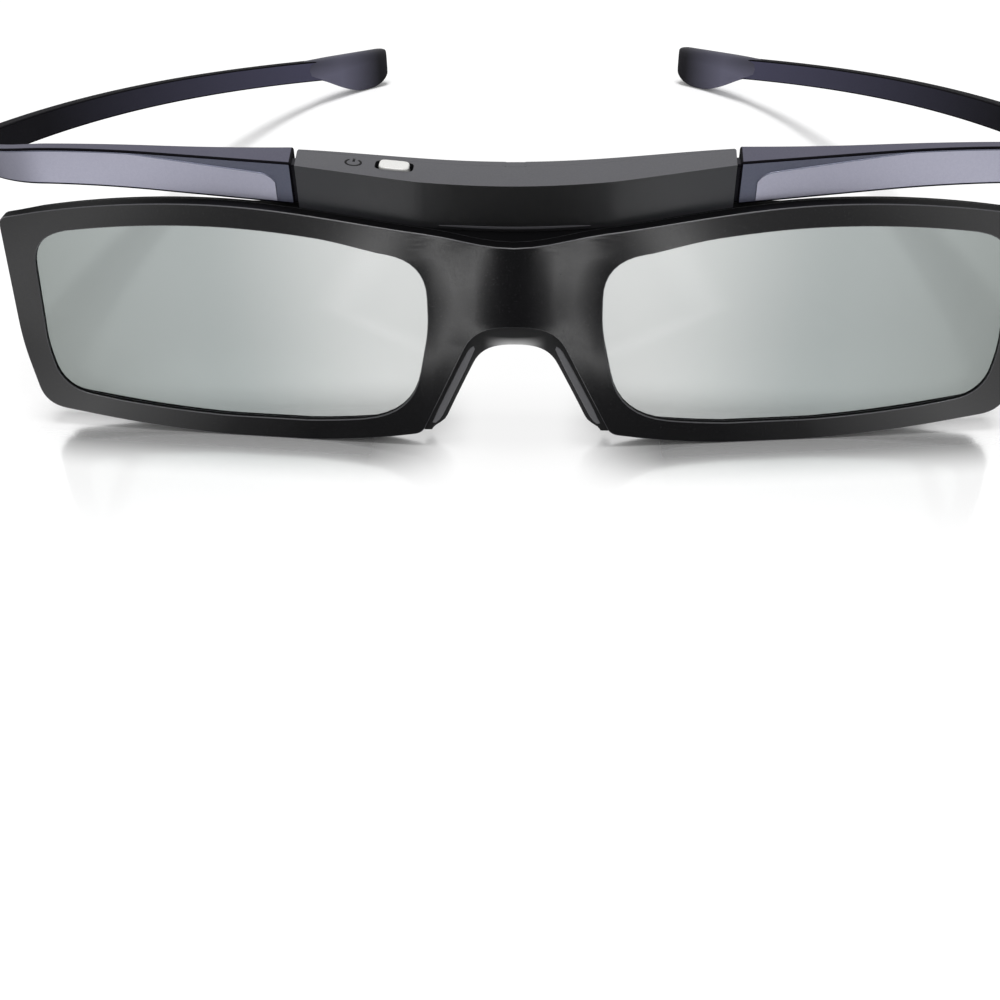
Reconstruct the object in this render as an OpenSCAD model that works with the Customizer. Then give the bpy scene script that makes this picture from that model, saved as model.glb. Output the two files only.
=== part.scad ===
// Shutter glasses for a television: a lens frame in two halves, a centre module with the electronics
// and a coin cell, and two wrap-round temples that plug into the ends of the module.
// Millimetres. +X is the viewer's right, -Y is the front, +Z is up and the floor is z = 0.

/* [Lens frame] */
// Full width of the lens frame
frame_w = 159; // [150:1:168]
// Height of the top edge at its highest point
frame_h = 41; // [39:0.5:44]
// Height of the top edge over the nose
bridge_h = 37; // [35.5:0.25:38.5]
// Distance of the highest point from the middle
brow_x = 46; // [42:1:50]
// Drop of the top edge from there to the outer corner
brow_drop = 3.9; // [2.5:0.1:5]
// Rise of the bottom edge towards the nose
nose_rise = 7; // [5:0.5:8]
// Rise of the bottom edge towards the outer corner
corner_rise = 4.6; // [3:0.2:5]
// Turn of each side towards the temples, in degrees
wrap_deg = 5; // [3:0.5:7]
// How far the bridge stands forward of the lens planes
bridge_bulge = 3; // [2:0.25:4]
// Thickness of the front half
front_t = 2.2; // [1.8:0.1:2.5]
// Thickness of the lip in front of the lens
lip_t = 0.9; // [0.7:0.1:1.2]
// Thickness of the lip behind the lens
rear_lip_t = 1.5; // [1.2:0.1:1.8]
// Step of the rear half inside the front half's edge
rear_step = 0.7; // [0.3:0.1:1.2]
// Rim above the lens
rim_top = 3.5; // [3:0.1:4.5]
// Rim below the lens
rim_bottom = 3.9; // [3.2:0.1:5]
// Rim at the outer side
rim_side = 4; // [3.2:0.1:5]

/* [Lenses] */
// Rim overlap all round the lens
lens_lip = 1.4; // [1:0.1:1.8]
// Glass thickness of the liquid crystal cell
lens_t = 1.2; // [1:0.1:1.6]
// Thickness of each polariser
polariser_t = 0.3; // [0.2:0.05:0.4]
// Gap between lens edge and pocket
lens_gap = 0.1; // [0.05:0.05:0.2]
// Overlap of the rear lip behind the lens pocket's edge
lens_hold = 0.4; // [0.3:0.1:0.8]

/* [Nose] */
// Height of the nose notch at the middle
notch_h = 24.1; // [22.5:0.1:26]
// Half width of the notch at the bottom
notch_foot = 15.2; // [14:0.2:17]
// Half width of the notch at the top corner
notch_top = 5.7; // [5:0.1:6.5]
// Thickness of the saddle plate behind the bridge
saddle_t = 1; // [0.8:0.1:1.4]
// Width of the saddle inside the notch edge
saddle_in = 2.2; // [1.5:0.1:2.6]
// Height of the saddle at the middle of the notch
saddle_h = 3.3; // [2.5:0.1:4]
// Set back of the saddle from the front of the frame
saddle_set = 0.9; // [0.5:0.1:1.4]
// Depth of the saddle wings
wing_d = 6; // [4:0.5:8]
// Outward turn of the saddle wings, in degrees
wing_flare = 16; // [8:1:24]

/* [Centre module] */
// Length of the module
module_l = 64; // [60:0.5:70]
// Height of the module at the middle
module_h = 7; // [6.6:0.1:8]
// Set back of its front from the front of the frame
module_set = 2.3; // [1.8:0.1:2.8]
// Wall thickness
wall = 1; // [0.9:0.1:1.1]
// Splay of the ends towards the rear, in degrees
splay = 12; // [6:1:16]
// Bow of the rear face over the length
rear_bow = 1.3; // [0.6:0.1:1.5]
// Thickness of the circuit board
board_t = 0.8; // [0.6:0.1:1]

/* [Battery] */
// Diameter of the coin cell
cell_d = 20; // [19.6:0.1:20]
// Thickness of the coin cell
cell_t = 2.5; // [2.4:0.05:2.5]
// Sheet thickness of the contacts
contact_t = 0.2; // [0.15:0.05:0.25]
// Radius of the door body
door_r = 10.65; // [10.5:0.05:10.7]
// Running clearance of the door, button and plugs
run = 0.05; // [0.03:0.01:0.08]
// Turn that opens the door, in degrees
door_turn = 40; // [35:1:50]
// Length of the coin slot
slot_l = 12; // [10:0.5:14]

/* [Power button] */
// Distance of the button from the middle
button_x = 17.5; // [17.2:0.1:18]
// Length of the button
button_l = 4.8; // [4.2:0.1:5]
// Depth of the button, front to rear
button_d = 3.2; // [2.6:0.1:3.4]
// Height above the module
button_up = 0.3; // [0.1:0.05:0.5]
// Press travel
button_travel = 0.4; // [0.2:0.05:0.45]

/* [Temples] */
// Gap between a temple and the end of the module
joint_gap = 0.5; // [0.2:0.1:0.8]
// Length of the plug inside the module
plug_l = 10; // [8:0.5:10.5]
// Rise of the plug and of the front part, in degrees
plug_rise = 4; // [3.5:0.25:5]
// Depth of a temple at the joint
arm_w0 = 6; // [5.4:0.1:6.2]
// Thickness of the band after the corner
arm_w1 = 2.2; // [1.8:0.1:2.8]
// Height of a temple at the joint
arm_h0 = 6.3; // [5.6:0.1:6.4]
// Height at the corner
arm_h1 = 5.5; // [4.8:0.1:5.8]
// Height along the side
arm_h2 = 4.3; // [4:0.1:5]
// Distance from the middle to the start of the corner
corner_x = 69; // [66:0.5:72]
// Outer radius of the corner
corner_r = 18; // [16:0.5:20]
// Depth from the front to the ear tips
temple_d = 170; // [155:1:185]
// Distance from the middle to the ear tips
tip_x = 40.2; // [34:0.2:46]
// Height of the ear pad's middle at its end
tip_z = 5.2; // [4.6:0.1:6]
// Thickness of the ear pad
pad_w = 3.4; // [2.8:0.1:4.2]

/* [Hidden] */
half_w = frame_w / 2;
pitch = 3;
stack_t = lens_t + 2 * polariser_t;
frame_t = lip_t + stack_t + rear_lip_t;
wrap_x = 14;
sole_x = 40;
foot_flat = 0.16;
lens_in = 13.1;
lens_foot = 16.5;
lens_out = half_w - rim_side;
side_z = 16;
nose_dip = 0.9;
nose_dip_x = 16;
nose_dip_run = 14;
step_run = 8;
top_round = 1.2;
side_round = 4;
foot_round = 3.5;
notch_round = 5;
mod_half = module_l / 2;
joint_y = plan(mod_half) + module_set;
pod_gap = 0.8;
pod_y = frame_t + saddle_t + pod_gap;
pod_wall = 0.8;
cell_y = pod_y + pod_wall + contact_t;
cell_gap = 0.3;
pod_roof = 1.1;
pocket_r = cell_d / 2 + cell_gap;
cell_z = bridge_h + module_h - pod_roof - pocket_r;
lug_reach = 0.65;
lug_wall = 0.9;
lug_arc = 10;
lug_play = 2;
lug_r = door_r + lug_reach;
pod_r = lug_r + lug_wall;
seam_in = 2.2;
cover_y = cell_y + seam_in;
door_y = cell_y + cell_t + run;
lug_t = 0.5;
door_lip = 1.1;
rear_y = door_y + lug_t + run + door_lip;
slot_w = 1.6;
slot_d = 0.8;
board_y = pod_y - board_t;
board_in = 2;
board_half = mod_half - board_in;
board_up = 0.2;
board_top = 2.2;
end_wall = 1.2;
socket_x = mod_half - plug_l - wall;
room_gap = 0.5;
plug_t = 2.3;
plug_h = 2.4;
plug_in = 0.7;
plug_root = 3;
plug_y = pod_y + plug_in;
arm_clear = 0.45;
joint_z = brow(mod_half) + arm_h0 / 2 + arm_clear;
screw_x = 13.8;
screw_r = 0.5;
screw_in = 0.4;
head_r = 1.1;
head_t = 0.6;
head_in = 1;
cross_l = 1.6;
cross_w = 0.3;
cross_d = 0.3;
boss_r = 1.2;
fit = 0.1;
big = 40;
screw_z = mix(brow(screw_x), crest(screw_x), 0.5);
button_in = 1.1;
button_y = pod_y + button_in;
flange = 0.4;
flange_t = 0.3;
flange_room = 0.9;
flange_z = crest(button_x) - wall - flange_room - flange_t;
switch_l = 4.4;
switch_d = 2.4;
switch_h = 2;
switch_clear = 0.15;
switch_z = brow(button_x + switch_l / 2) + wall + switch_clear;
plunger_r = 0.7;
plunger_in = 1;
flex_x = 20;
flex_w = 4;
flex_t = 0.2;
flex_y = module_set + wall + fit;
tail_y = lip_t + polariser_t + lens_t * 0.65;
link_up = 0.3;
link_z = lens_top(flex_x + flex_w) + lens_lip + link_up;
arm_x0 = mod_half + joint_gap;
arm_slope = 0.05;
corner_z = joint_z + (corner_x - mod_half) * arm_slope;
corner_c = [corner_x - corner_r * sin(wrap_deg), plan(corner_x) + module_set + corner_r * cos(wrap_deg)];
corner_drop = 4;
corner_bow = 1.4;
corner_thin = 0.4;
back_z = corner_z - corner_drop;
side_x = corner_c[0] + corner_r;
pad_at = 0.77;
core_at = 0.95;
core_w = 1;
core_h = 3;
side_fall = 0.227;
tip_lead = 20;
tip_lift = 4;
pad_grow = 1;
pad_step = 1;
pad_rise = 4.4;
pad_ramp = 0.09;
pad_nose_low = 2.4;
pad_nose_top = 1.6;
side_tilt = 2;
foot_tilt = 0.8;
lens_tilt = 2.2;
lens_foot_tilt = 0.5;
nose_z = 22;
$fn = 48;

// Small helpers
function mix(a, b, t) = a + (b - a) * t;
function ease(t) = (1 - cos(180 * t)) / 2;
function unit(v) = v / norm(v);

// Top edge and bottom edge of the lens frame at distance u from the middle
function brow(u) = u < brow_x
    ? mix(bridge_h, frame_h, ease(u / brow_x))
    : frame_h - brow_drop * pow((u - brow_x) / (half_w - brow_x), 2);
function sole(u) = max(0, (u < sole_x
    ? nose_rise * pow((sole_x - u) / sole_x, 2)
    : corner_rise * pow((u - sole_x) / (half_w - sole_x), 2)) - foot_flat);
// Top edge of the lens opening, which dips towards the nose
function lens_top(u) = brow(u) - rim_top
    - nose_dip * (1 - ease(max(0, min(1, (u - nose_dip_x) / nose_dip_run))));
// Share of the rear half's step, which runs out under the module
function step_at(u) = ease(max(0, min(1, (u - mod_half) / step_run)));
// Top of the centre module
function crest(u) = bridge_h + module_h + 0.8 * (brow(u) - bridge_h);

// Plan of the front: two lens planes and a bridge that stands forward
function plan(x) = max(0, abs(x) - wrap_x) * tan(wrap_deg);
function bulge(x) = abs(x) < wrap_x ? bridge_bulge * pow(cos(90 * x / wrap_x), 2) : 0;
plan_xs = concat([-half_w - 6], [for (x = [-wrap_x : 2 : wrap_x]) x], [half_w + 6]);

// A corner with setback d becomes a curve
function corner(a, b, c, d) = d == 0 ? [b]
    : let (p = b + unit(a - b) * d, q = b + unit(c - b) * d)
      [for (i = [0 : 6]) mix(mix(p, b, i / 6), mix(b, q, i / 6), i / 6)];
function flat(p) = [p[0], p[1]];
function smooth(path) = let (n = len(path))
    [for (i = [0 : n - 1]) each
        corner(flat(path[(i + n - 1) % n]), flat(path[i]), flat(path[(i + 1) % n]), path[i][2])];

// Right half of the frame's outline, from the top middle to the notch, stepped in by g
function frame_half(g) = concat(
    [for (u = [0 : pitch : half_w - 8]) [u, brow(u) - g * step_at(u), 0]],
    [[half_w - side_tilt - g, brow(half_w - side_tilt) - g, top_round],
     [half_w - g, side_z, side_round],
     [half_w - foot_tilt - g, sole(half_w) - foot_tilt / 2, foot_round]],
    [for (u = [half_w - 9 : -4 : notch_foot + 4]) [u, sole(u), 0]],
    [[notch_foot, sole(notch_foot), 1.5],
     [notch_top, notch_h - fit * 2, notch_round],
     [0, notch_h, 0]]);
function frame_path(g) = let (half = frame_half(g)) smooth(concat(half,
    [for (i = [len(half) - 2 : -1 : 1]) [-half[i][0], half[i][1], half[i][2]]]));

// Right lens opening, grown by g
function lens_path(g) = smooth(concat(
    [[lens_in - g, lens_top(lens_in) + g, 5]],
    [for (u = [lens_in + 6 : 4 : lens_out - 8]) [u, lens_top(u) + g, 0]],
    [[lens_out - lens_tilt + g, lens_top(lens_out) + g, 5],
     [lens_out + g, side_z, 2],
     [lens_out - lens_foot_tilt + g, sole(lens_out) + rim_bottom - g, 5]],
    [for (u = [lens_out - 10 : -4 : lens_foot + 9]) [u, sole(u) + rim_bottom - g, 0]],
    [[lens_foot - g, sole(lens_foot) + rim_bottom - g, 8],
     [lens_in + fit - g, nose_z, 3]]));

// Module face between two heights, with its points where the frame's top edge has them
function steps(reach) = let (n = floor(reach / pitch - 0.01))
    concat([-reach], [for (i = [-n : n]) i * pitch], [reach]);
function band(lo, hi, reach) = let (xs = steps(reach), n = len(xs)) concat(
    [for (x = xs) [x, crest(abs(x)) + hi]],
    [for (i = [n - 1 : -1 : 0]) [xs[i], brow(abs(xs[i])) + lo]]);

// Elevation drawing in XZ made solid between two depths
module slab(y0, y1) {
    translate([0, y1, 0]) rotate([90, 0, 0]) linear_extrude(y1 - y0) children();
}
// Plan drawing made solid over the full height
module column() {
    translate([0, 0, -1]) linear_extrude(frame_w) children();
}
module side(s) {
    mirror([s < 0 ? 1 : 0, 0, 0]) children();
}
// Turns a drawing of the right lens into its lens plane
module wing(s) {
    side(s) translate([wrap_x, 0, 0]) rotate([0, 0, wrap_deg]) translate([-wrap_x, 0, 0]) children();
}
// A round bar along Y
module bar(x, z, y0, y1, r) {
    translate([x, y1, z]) rotate([90, 0, 0]) cylinder(r = r, h = y1 - y0);
}
module block(x0, x1, y0, y1, z0, z1) {
    translate([x0, y0, z0]) cube([x1 - x0, y1 - y0, z1 - z0]);
}

module front_frame() {
    color("#2a2a2d") difference() {
        intersection() {
            slab(-big, big) polygon(frame_path(0));
            column() polygon(concat(
                [for (x = plan_xs) [x, plan(x) - bulge(x)]],
                [for (i = [len(plan_xs) - 1 : -1 : 0])
                    [plan_xs[i], plan(plan_xs[i]) - bulge(plan_xs[i]) + front_t]]));
        }
        for (s = [-1, 1]) {
            wing(s) slab(-front_t, front_t * 2) polygon(lens_path(0));
            wing(s) slab(lip_t, front_t * 2) polygon(lens_path(lens_lip));
            flex_room(s);
        }
    }
}

module rear_frame() {
    color("#1f1f22") difference() {
        intersection() {
            slab(-big, big) polygon(frame_path(rear_step));
            column() polygon(concat(
                [for (x = plan_xs) [x, plan(x) - bulge(x) + front_t]],
                [for (i = [len(plan_xs) - 1 : -1 : 0]) [plan_xs[i], plan(plan_xs[i]) + frame_t]]));
        }
        for (s = [-1, 1]) {
            wing(s) slab(-frame_t, frame_t * 2) polygon(lens_path(lens_lip - lens_hold));
            wing(s) slab(-frame_t, lip_t + stack_t) polygon(lens_path(lens_lip));
            flex_room(s);
        }
    }
}

module lens_layer(s, y0, t) {
    wing(s) slab(y0, y0 + t) polygon(lens_path(lens_lip - lens_gap));
}
module lens_cell(s) {
    color("#9aa39f") lens_layer(s, lip_t + polariser_t, lens_t);
}
module front_polariser(s) {
    color("#8a908e") lens_layer(s, lip_t, polariser_t);
}
module rear_polariser(s) {
    color("#7c8280") lens_layer(s, lip_t + polariser_t + lens_t, polariser_t);
}

// A straight run of the ribbon, grown by g, and the room that its runs need in the frame
module ribbon(y0, y1, z0, z1, g = 0) {
    block(flex_x - g, flex_x + flex_w + g, y0 - g, y1 + g, z0 - g, z1 + g);
}
module flex_room(s) {
    wing(s) {
        ribbon(tail_y, tail_y + flex_t, lens_top(flex_x), link_z + flex_t, fit);
        ribbon(tail_y, flex_y + flex_t, link_z, link_z + flex_t, fit);
        ribbon(flex_y, flex_y + flex_t, link_z, big + frame_h, fit);
    }
}
// Ribbon from the top of a lens, back inside the rim and up to the board
module lens_flex(s) {
    tab_z = brow(flex_x + flex_w) + wall * 2;
    color("#c08a3a") intersection() {
        wing(s) {
            difference() {
                ribbon(tail_y, tail_y + flex_t, lens_top(flex_x), link_z + flex_t);
                slab(-frame_t, frame_t) polygon(lens_path(lens_lip - lens_gap));
            }
            ribbon(tail_y, flex_y + flex_t, link_z, link_z + flex_t);
            ribbon(flex_y, flex_y + flex_t, link_z, tab_z + flex_t);
            ribbon(flex_y, cover_y, tab_z, tab_z + flex_t);
        }
        block(-frame_w, frame_w, 0, board_y, 0, frame_w);
    }
}

// Trapezoid with rounded upper corners
function arch(foot, low, top, high, r) = smooth(
    [[foot, low, 0], [top, high, r], [-top, high, r], [-foot, low, 0]]);
// U shaped lining of the notch, with a flange behind the bridge and two soft wings
module nose_saddle() {
    lean = atan((notch_foot - notch_top) / notch_h);
    low = sole(notch_foot) + fit * 2;
    wing_low = 3.4;
    lap = 1.2;
    rise = 3;
    wing_t = 1.6;
    wing_l = 13;
    wing_edge = 0.7;
    inner_round = 3;
    xs = [for (x = plan_xs) if (abs(x) <= wrap_x) x];
    module inside() {
        polygon(arch(notch_foot - saddle_in, low - fit, notch_top - saddle_in, notch_h - saddle_h, inner_round));
    }
    color("#55555c") {
        difference() {
            union() {
                slab(frame_t, frame_t + saddle_t) difference() {
                    polygon(arch(notch_foot + lap, wing_low, notch_top + lap, notch_h + rise, notch_round));
                    inside();
                }
                for (s = [-1, 1]) side(s)
                    translate([notch_foot - saddle_in, frame_t, wing_low + saddle_t])
                        rotate([0, -lean, 0])
                            rotate([0, 0, -wing_flare])
                                slab(fit * 2, wing_d) polygon(smooth(
                                    [for (p = [[0, 0], [wing_t, 0], [wing_t, wing_l], [0, wing_l]]) [p[0], p[1], wing_edge]]));
            }
            column() polygon([[-half_w, plan(half_w) + frame_t], [-wrap_x, frame_t], [wrap_x, frame_t],
                [half_w, plan(half_w) + frame_t], [half_w, -big], [-half_w, -big]]);
        }
        intersection() {
            slab(-big, big) difference() {
                polygon(arch(notch_foot - fit * 2, low, notch_top - fit, notch_h - fit * 3, notch_round));
                inside();
            }
            column() polygon(concat(
                [[-half_w, frame_t + saddle_t], [-half_w, saddle_set]],
                [for (x = xs) [x, saddle_set - bulge(x)]],
                [[half_w, saddle_set], [half_w, frame_t + saddle_t]]));
        }
    }
}

// Plan of the module with splayed ends, from its front to depth y1
function end_x(y) = mod_half + (y - joint_y) * tan(splay);
function rear(x) = rear_y - rear_bow * pow(x / mod_half, 2);
// The plug's box, grown by the clearance
module plug(s, g, l) {
    side(s) translate([mod_half, 0, joint_z]) rotate([0, -plug_rise, 0])
        block(-plug_l - g, l, plug_y - g, plug_y + plug_t + g, -plug_h / 2 - g, plug_h / 2 + g);
}
module pill(l, d) {
    square([l - d * 0.6, d], center = true);
    square([l, d * 0.4], center = true);
    for (a = [-1, 1], b = [-1, 1])
        translate([a * (l / 2 - d * 0.3), b * d * 0.2]) circle(r = d * 0.3);
}

module module_housing() {
    color("#3a3b3e") difference() {
        union() {
            intersection() {
                slab(0, cover_y) polygon(band(0, 0, mod_half + cover_y));
                column() polygon([
                    [end_x(cover_y), cover_y], [-end_x(cover_y), cover_y],
                    [-mod_half, joint_y], [-wrap_x, module_set],
                    [wrap_x, module_set], [mod_half, joint_y]]);
            }
            intersection() {
                bar(0, cell_z, pod_y, cover_y, pod_r);
                block(-big, big, 0, big, 0, bridge_h + module_h);
            }
        }
        // Room for the board, then for what stands on it
        intersection() {
            slab(0, pod_y) polygon(band(wall, -wall, mod_half - end_wall));
            column() polygon([
                [mod_half - end_wall, pod_y], [end_wall - mod_half, pod_y],
                [end_wall - mod_half, joint_y + wall], [-wrap_x, module_set + wall],
                [wrap_x, module_set + wall], [mod_half - end_wall, joint_y + wall]]);
        }
        intersection() {
            slab(pod_y - fit, cover_y + wall) polygon(band(wall, -wall, socket_x - room_gap));
            difference() {
                block(-big, big, 0, big, 0, big * 2);
                bar(0, cell_z, 0, big, pod_r);
                for (s = [-1, 1]) {
                    bar(s * screw_x, screw_z, 0, big, boss_r);
                    block(s * screw_x - boss_r, s * screw_x + boss_r, 0, big, 0, screw_z);
                }
                block(-pod_r, pod_r, 0, big, cell_z, big * 2);
            }
        }
        bar(0, cell_z, pod_y + pod_wall, cover_y + wall, pocket_r);
        block(-tab_w / 2 - fit, tab_w / 2 + fit, pod_y - wall, pod_y + wall, cell_z + tab_at - fit, cell_z + tab_at + tab_h + fit);
        block(plus_x - plus_l, plus_x + plus_l, pod_y - wall, pod_y + wall, plus_z - plus_h, plus_z + plus_h);
        for (s = [-1, 1]) {
            plug(s, run, cover_y);
            bar(s * screw_x, screw_z, pod_y + screw_in, cover_y + head_in, screw_r);
            wing(s) block(flex_x - fit * 2, flex_x + flex_w + fit * 2, flex_y - fit * 2, board_y,
                link_z, brow(flex_x + flex_w) + wall + fit * 4);
        }
        translate([-button_x, button_y, flange_z]) linear_extrude(big) pill(button_l + 2 * run, button_d + 2 * run);
    }
}

module module_rear_cover() {
    n = 16;
    color("#303134") difference() {
        union() {
            intersection() {
                slab(cover_y, cover_y + big) polygon(band(0, 0, mod_half + cover_y));
                column() polygon(concat(
                    [[-end_x(cover_y), cover_y], [end_x(cover_y), cover_y]],
                    [for (i = [n : -1 : -n]) let (x = end_x(rear(mod_half)) * i / n) [x, rear(x)]]));
            }
            intersection() {
                bar(0, cell_z, cover_y, rear_y, pod_r);
                block(-big, big, 0, big, 0, bridge_h + module_h);
            }
        }
        bar(0, cell_z, cover_y - wall, rear_y + wall, door_r + run);
        for (a = [0, 180]) translate([0, 0, cell_z]) rotate([0, -a, 0]) {
            sector(-door_turn - lug_arc - lug_play * 4, lug_arc + lug_play, lug_r + run, cover_y - wall, door_y + lug_t + run);
            sector(-door_turn - lug_arc - lug_play * 4, lug_arc + lug_play - door_turn, lug_r + run, cover_y - wall, rear_y + wall);
        }
        for (s = [-1, 1]) {
            bar(s * screw_x, screw_z, cover_y - wall, rear_y + wall, screw_r + fit);
            bar(s * screw_x, screw_z, cover_y + head_in, rear_y + wall, head_r + run);
        }
    }
}
// A slice of a disc about Y between two angles
module sector(a0, a1, r, y0, y1) {
    translate([0, y1, 0]) rotate([90, 0, 0]) linear_extrude(y1 - y0) intersection() {
        circle(r = r);
        polygon([[0, 0], [2 * r * cos(a0), 2 * r * sin(a0)],
            [2 * r * cos((a0 + a1) / 2), 2 * r * sin((a0 + a1) / 2)],
            [2 * r * cos(a1), 2 * r * sin(a1)]]);
    }
}

module cover_screws() {
    color("#b8bcc0") for (s = [-1, 1]) difference() {
        union() {
            bar(s * screw_x, screw_z, pod_y + screw_in, cover_y + head_in, screw_r);
            bar(s * screw_x, screw_z, cover_y + head_in, cover_y + head_in + head_t, head_r);
        }
        for (d = [[cross_l, cross_w], [cross_w, cross_l]])
            block(s * screw_x - d[0] / 2, s * screw_x + d[0] / 2,
                cover_y + head_in + head_t - cross_d, cover_y + head_in + head_t + cross_d,
                screw_z - d[1] / 2, screw_z + d[1] / 2);
    }
}

module main_board() {
    color("#2f6b3f") slab(board_y, pod_y) polygon(band(wall + board_up, -wall - board_top, board_half));
}
module control_chip() {
    chip_l = 5;
    chip_h = 2.2;
    chip_t = 0.9;
    z = bridge_h + wall + board_up * 2;
    color("#202124") block(-chip_l / 2, chip_l / 2, board_y - chip_t, board_y, z, z + chip_h);
}
module crystal_can() {
    can_l = 3.2;
    can_h = 1.6;
    can_t = 0.9;
    x = screw_x + boss_r + can_l / 2 + room_gap;
    z = mix(brow(x), crest(x), 0.4);
    color("#c9ccd0") block(x - can_l / 2, x + can_l / 2, pod_y, pod_y + can_t, z - can_h / 2, z + can_h / 2);
}
module status_led() {
    led_l = 1.6;
    led_h = 0.8;
    led_t = 0.6;
    x = board_half - board_in - led_l / 2;
    z = mix(brow(x), crest(x), 0.4);
    color("#d8e8d0") block(-x - led_l / 2, led_l / 2 - x, board_y - led_t, board_y, z - led_h / 2, z + led_h / 2);
}
module tact_switch() {
    color("#c4c6c8") difference() {
        block(-button_x - switch_l / 2, -button_x + switch_l / 2, pod_y, pod_y + switch_d, switch_z, switch_z + switch_h);
        translate([-button_x, button_y, switch_z + plunger_in / 2]) cylinder(r = plunger_r + run, h = switch_h);
    }
}
module switch_plunger() {
    color("#26262a") translate([-button_x, button_y, switch_z + plunger_in])
        cylinder(r = plunger_r, h = flange_z - switch_z - plunger_in);
}
module power_button() {
    color("#f2f2f0") intersection() {
        translate([-button_x, button_y, flange_z]) {
            linear_extrude(flange_t) pill(button_l + 2 * flange, button_d + 2 * flange);
            linear_extrude(module_h) pill(button_l, button_d);
        }
        slab(0, big) polygon(band(0, button_up, mod_half));
    }
}

// Coin cell with a smaller negative can, and its two contacts
can_in = 1.6;
can_step = 0.3;
plus_a = 50;
plus_arc = 12;
plus_tab = 4;
plus_l = 0.9;
plus_h = 0.6;
plus_x = (cell_d + cell_gap) / 2 * cos(plus_a);
plus_z = cell_z + (cell_d + cell_gap) / 2 * sin(plus_a);
minus_r = 6;
tab_w = 3;
tab_at = 7;
tab_h = 1;
module coin_cell() {
    color("#d2d4d6") {
        bar(0, cell_z, cell_y + can_step, cell_y + cell_t, cell_d / 2);
        bar(0, cell_z, cell_y, cell_y + can_step, cell_d / 2 - can_in);
    }
}
module contact_plus() {
    color("#d9c48a") {
        difference() {
            translate([0, 0, cell_z]) {
                sector(plus_a - plus_arc, plus_a + plus_arc, pocket_r, cell_y + can_step + fit, cover_y);
                sector(plus_a - plus_tab, plus_a + plus_tab, pocket_r, pod_y, cover_y);
            }
            bar(0, cell_z, 0, big, cell_d / 2);
        }
    }
}
module contact_minus() {
    color("#d9c48a") {
        bar(0, cell_z, cell_y - contact_t, cell_y, minus_r);
        block(-tab_w / 2, tab_w / 2, cell_y - contact_t, cell_y, cell_z, cell_z + tab_at + tab_h);
        block(-tab_w / 2, tab_w / 2, pod_y, cell_y, cell_z + tab_at, cell_z + tab_at + tab_h);
    }
}
module battery_door() {
    color("#3d3e42") difference() {
        union() {
            bar(0, cell_z, door_y, rear_y, door_r);
            for (a = [0, 180]) translate([0, 0, cell_z]) rotate([0, -a, 0])
                sector(-lug_arc, lug_arc, lug_r, door_y, door_y + lug_t);
        }
        block(-slot_l / 2, slot_l / 2, rear_y - slot_d, rear_y + slot_d, cell_z - slot_w / 2, cell_z + slot_w / 2);
    }
}

// Temples: stations of [outer point, inward direction, width, bottom, top] joined to one skin
function bez(a, b, c, d, t) = pow(1 - t, 3) * a + 3 * t * pow(1 - t, 2) * b + 3 * t * t * (1 - t) * c + t * t * t * d;
function dbez(a, b, c, d, t) = pow(1 - t, 2) * (b - a) + 2 * t * (1 - t) * (c - b) + t * t * (d - c);
side_run = (temple_d - corner_c[1]) * 0.41;
b0 = [side_x, corner_c[1], back_z];
b1 = [side_x, corner_c[1] + side_run, back_z - side_fall * side_run];
b2 = [mix(tip_x, side_x, 0.74), temple_d - tip_lead, tip_z + tip_lift];
b3 = [tip_x, temple_d, tip_z];
function back(t) = bez(b0, b1, b2, b3, t);
function inward(t) = let (d = dbez(b0, b1, b2, b3, t)) unit([-d[1], d[0]]);
function arm_h(t) = arm_h2 + pad_grow * t;
function at(p, n, w, mid, h) = [[p[0], p[1]], n, w, mid - h / 2, mid + h / 2];

front_run = [for (i = [0 : 6]) let (t = i / 6, x = mix(arm_x0, corner_x, t))
    at([x, plan(x) + module_set],
        i == 0 ? [sin(splay), cos(splay)] : [-sin(wrap_deg), cos(wrap_deg)],
        mix(arm_w1, arm_w0, pow(1 - t, 2)), mix(joint_z, corner_z, t), mix(arm_h0, arm_h1, t))];
corner_run = [for (i = [1 : 8]) let (t = i / 8, a = mix(wrap_deg - 90, 0, t))
    at(corner_c + corner_r * [cos(a), sin(a)], [-cos(a), -sin(a)],
        arm_w1, corner_z - corner_drop * pow(t, corner_bow), mix(arm_h1, arm_h2, ease(min(1, t / corner_thin))))];
back_run = [for (i = [1 : 20]) let (t = pad_at * i / 20)
    at(back(t), inward(t), arm_w1, back(t)[2], arm_h(t))];
core_run = [for (i = [0 : 6]) let (t = mix(pad_at, core_at, i / 6))
    at(back(t) + [inward(t)[0], inward(t)[1], 0] * (arm_w1 - core_w) / 2, inward(t), core_w,
        back(t)[2], core_h)];
function pad_top(t) = back(t)[2] + mix(arm_h(pad_at) / 2, pad_rise, (t - pad_at) / (1 - pad_at));
function pad_low(t) = mix(back(pad_at)[2] - arm_h(pad_at) / 2 - pad_step, 0, ease(min(1, (t - pad_at) / pad_ramp)));
pad_run = [for (i = [0 : 12]) let (t = mix(pad_at, 1, i / 12), k = i == 12 ? 1 : i == 11 ? 0.35 : 0)
    [[back(t)[0], back(t)[1]] - inward(t) * ((pad_w - arm_w1) / 2 - k * pad_w * 0.25), inward(t),
        pad_w * (1 - k * 0.5), pad_low(t) + k * pad_nose_low, pad_top(t) - k * pad_nose_top]];

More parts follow.
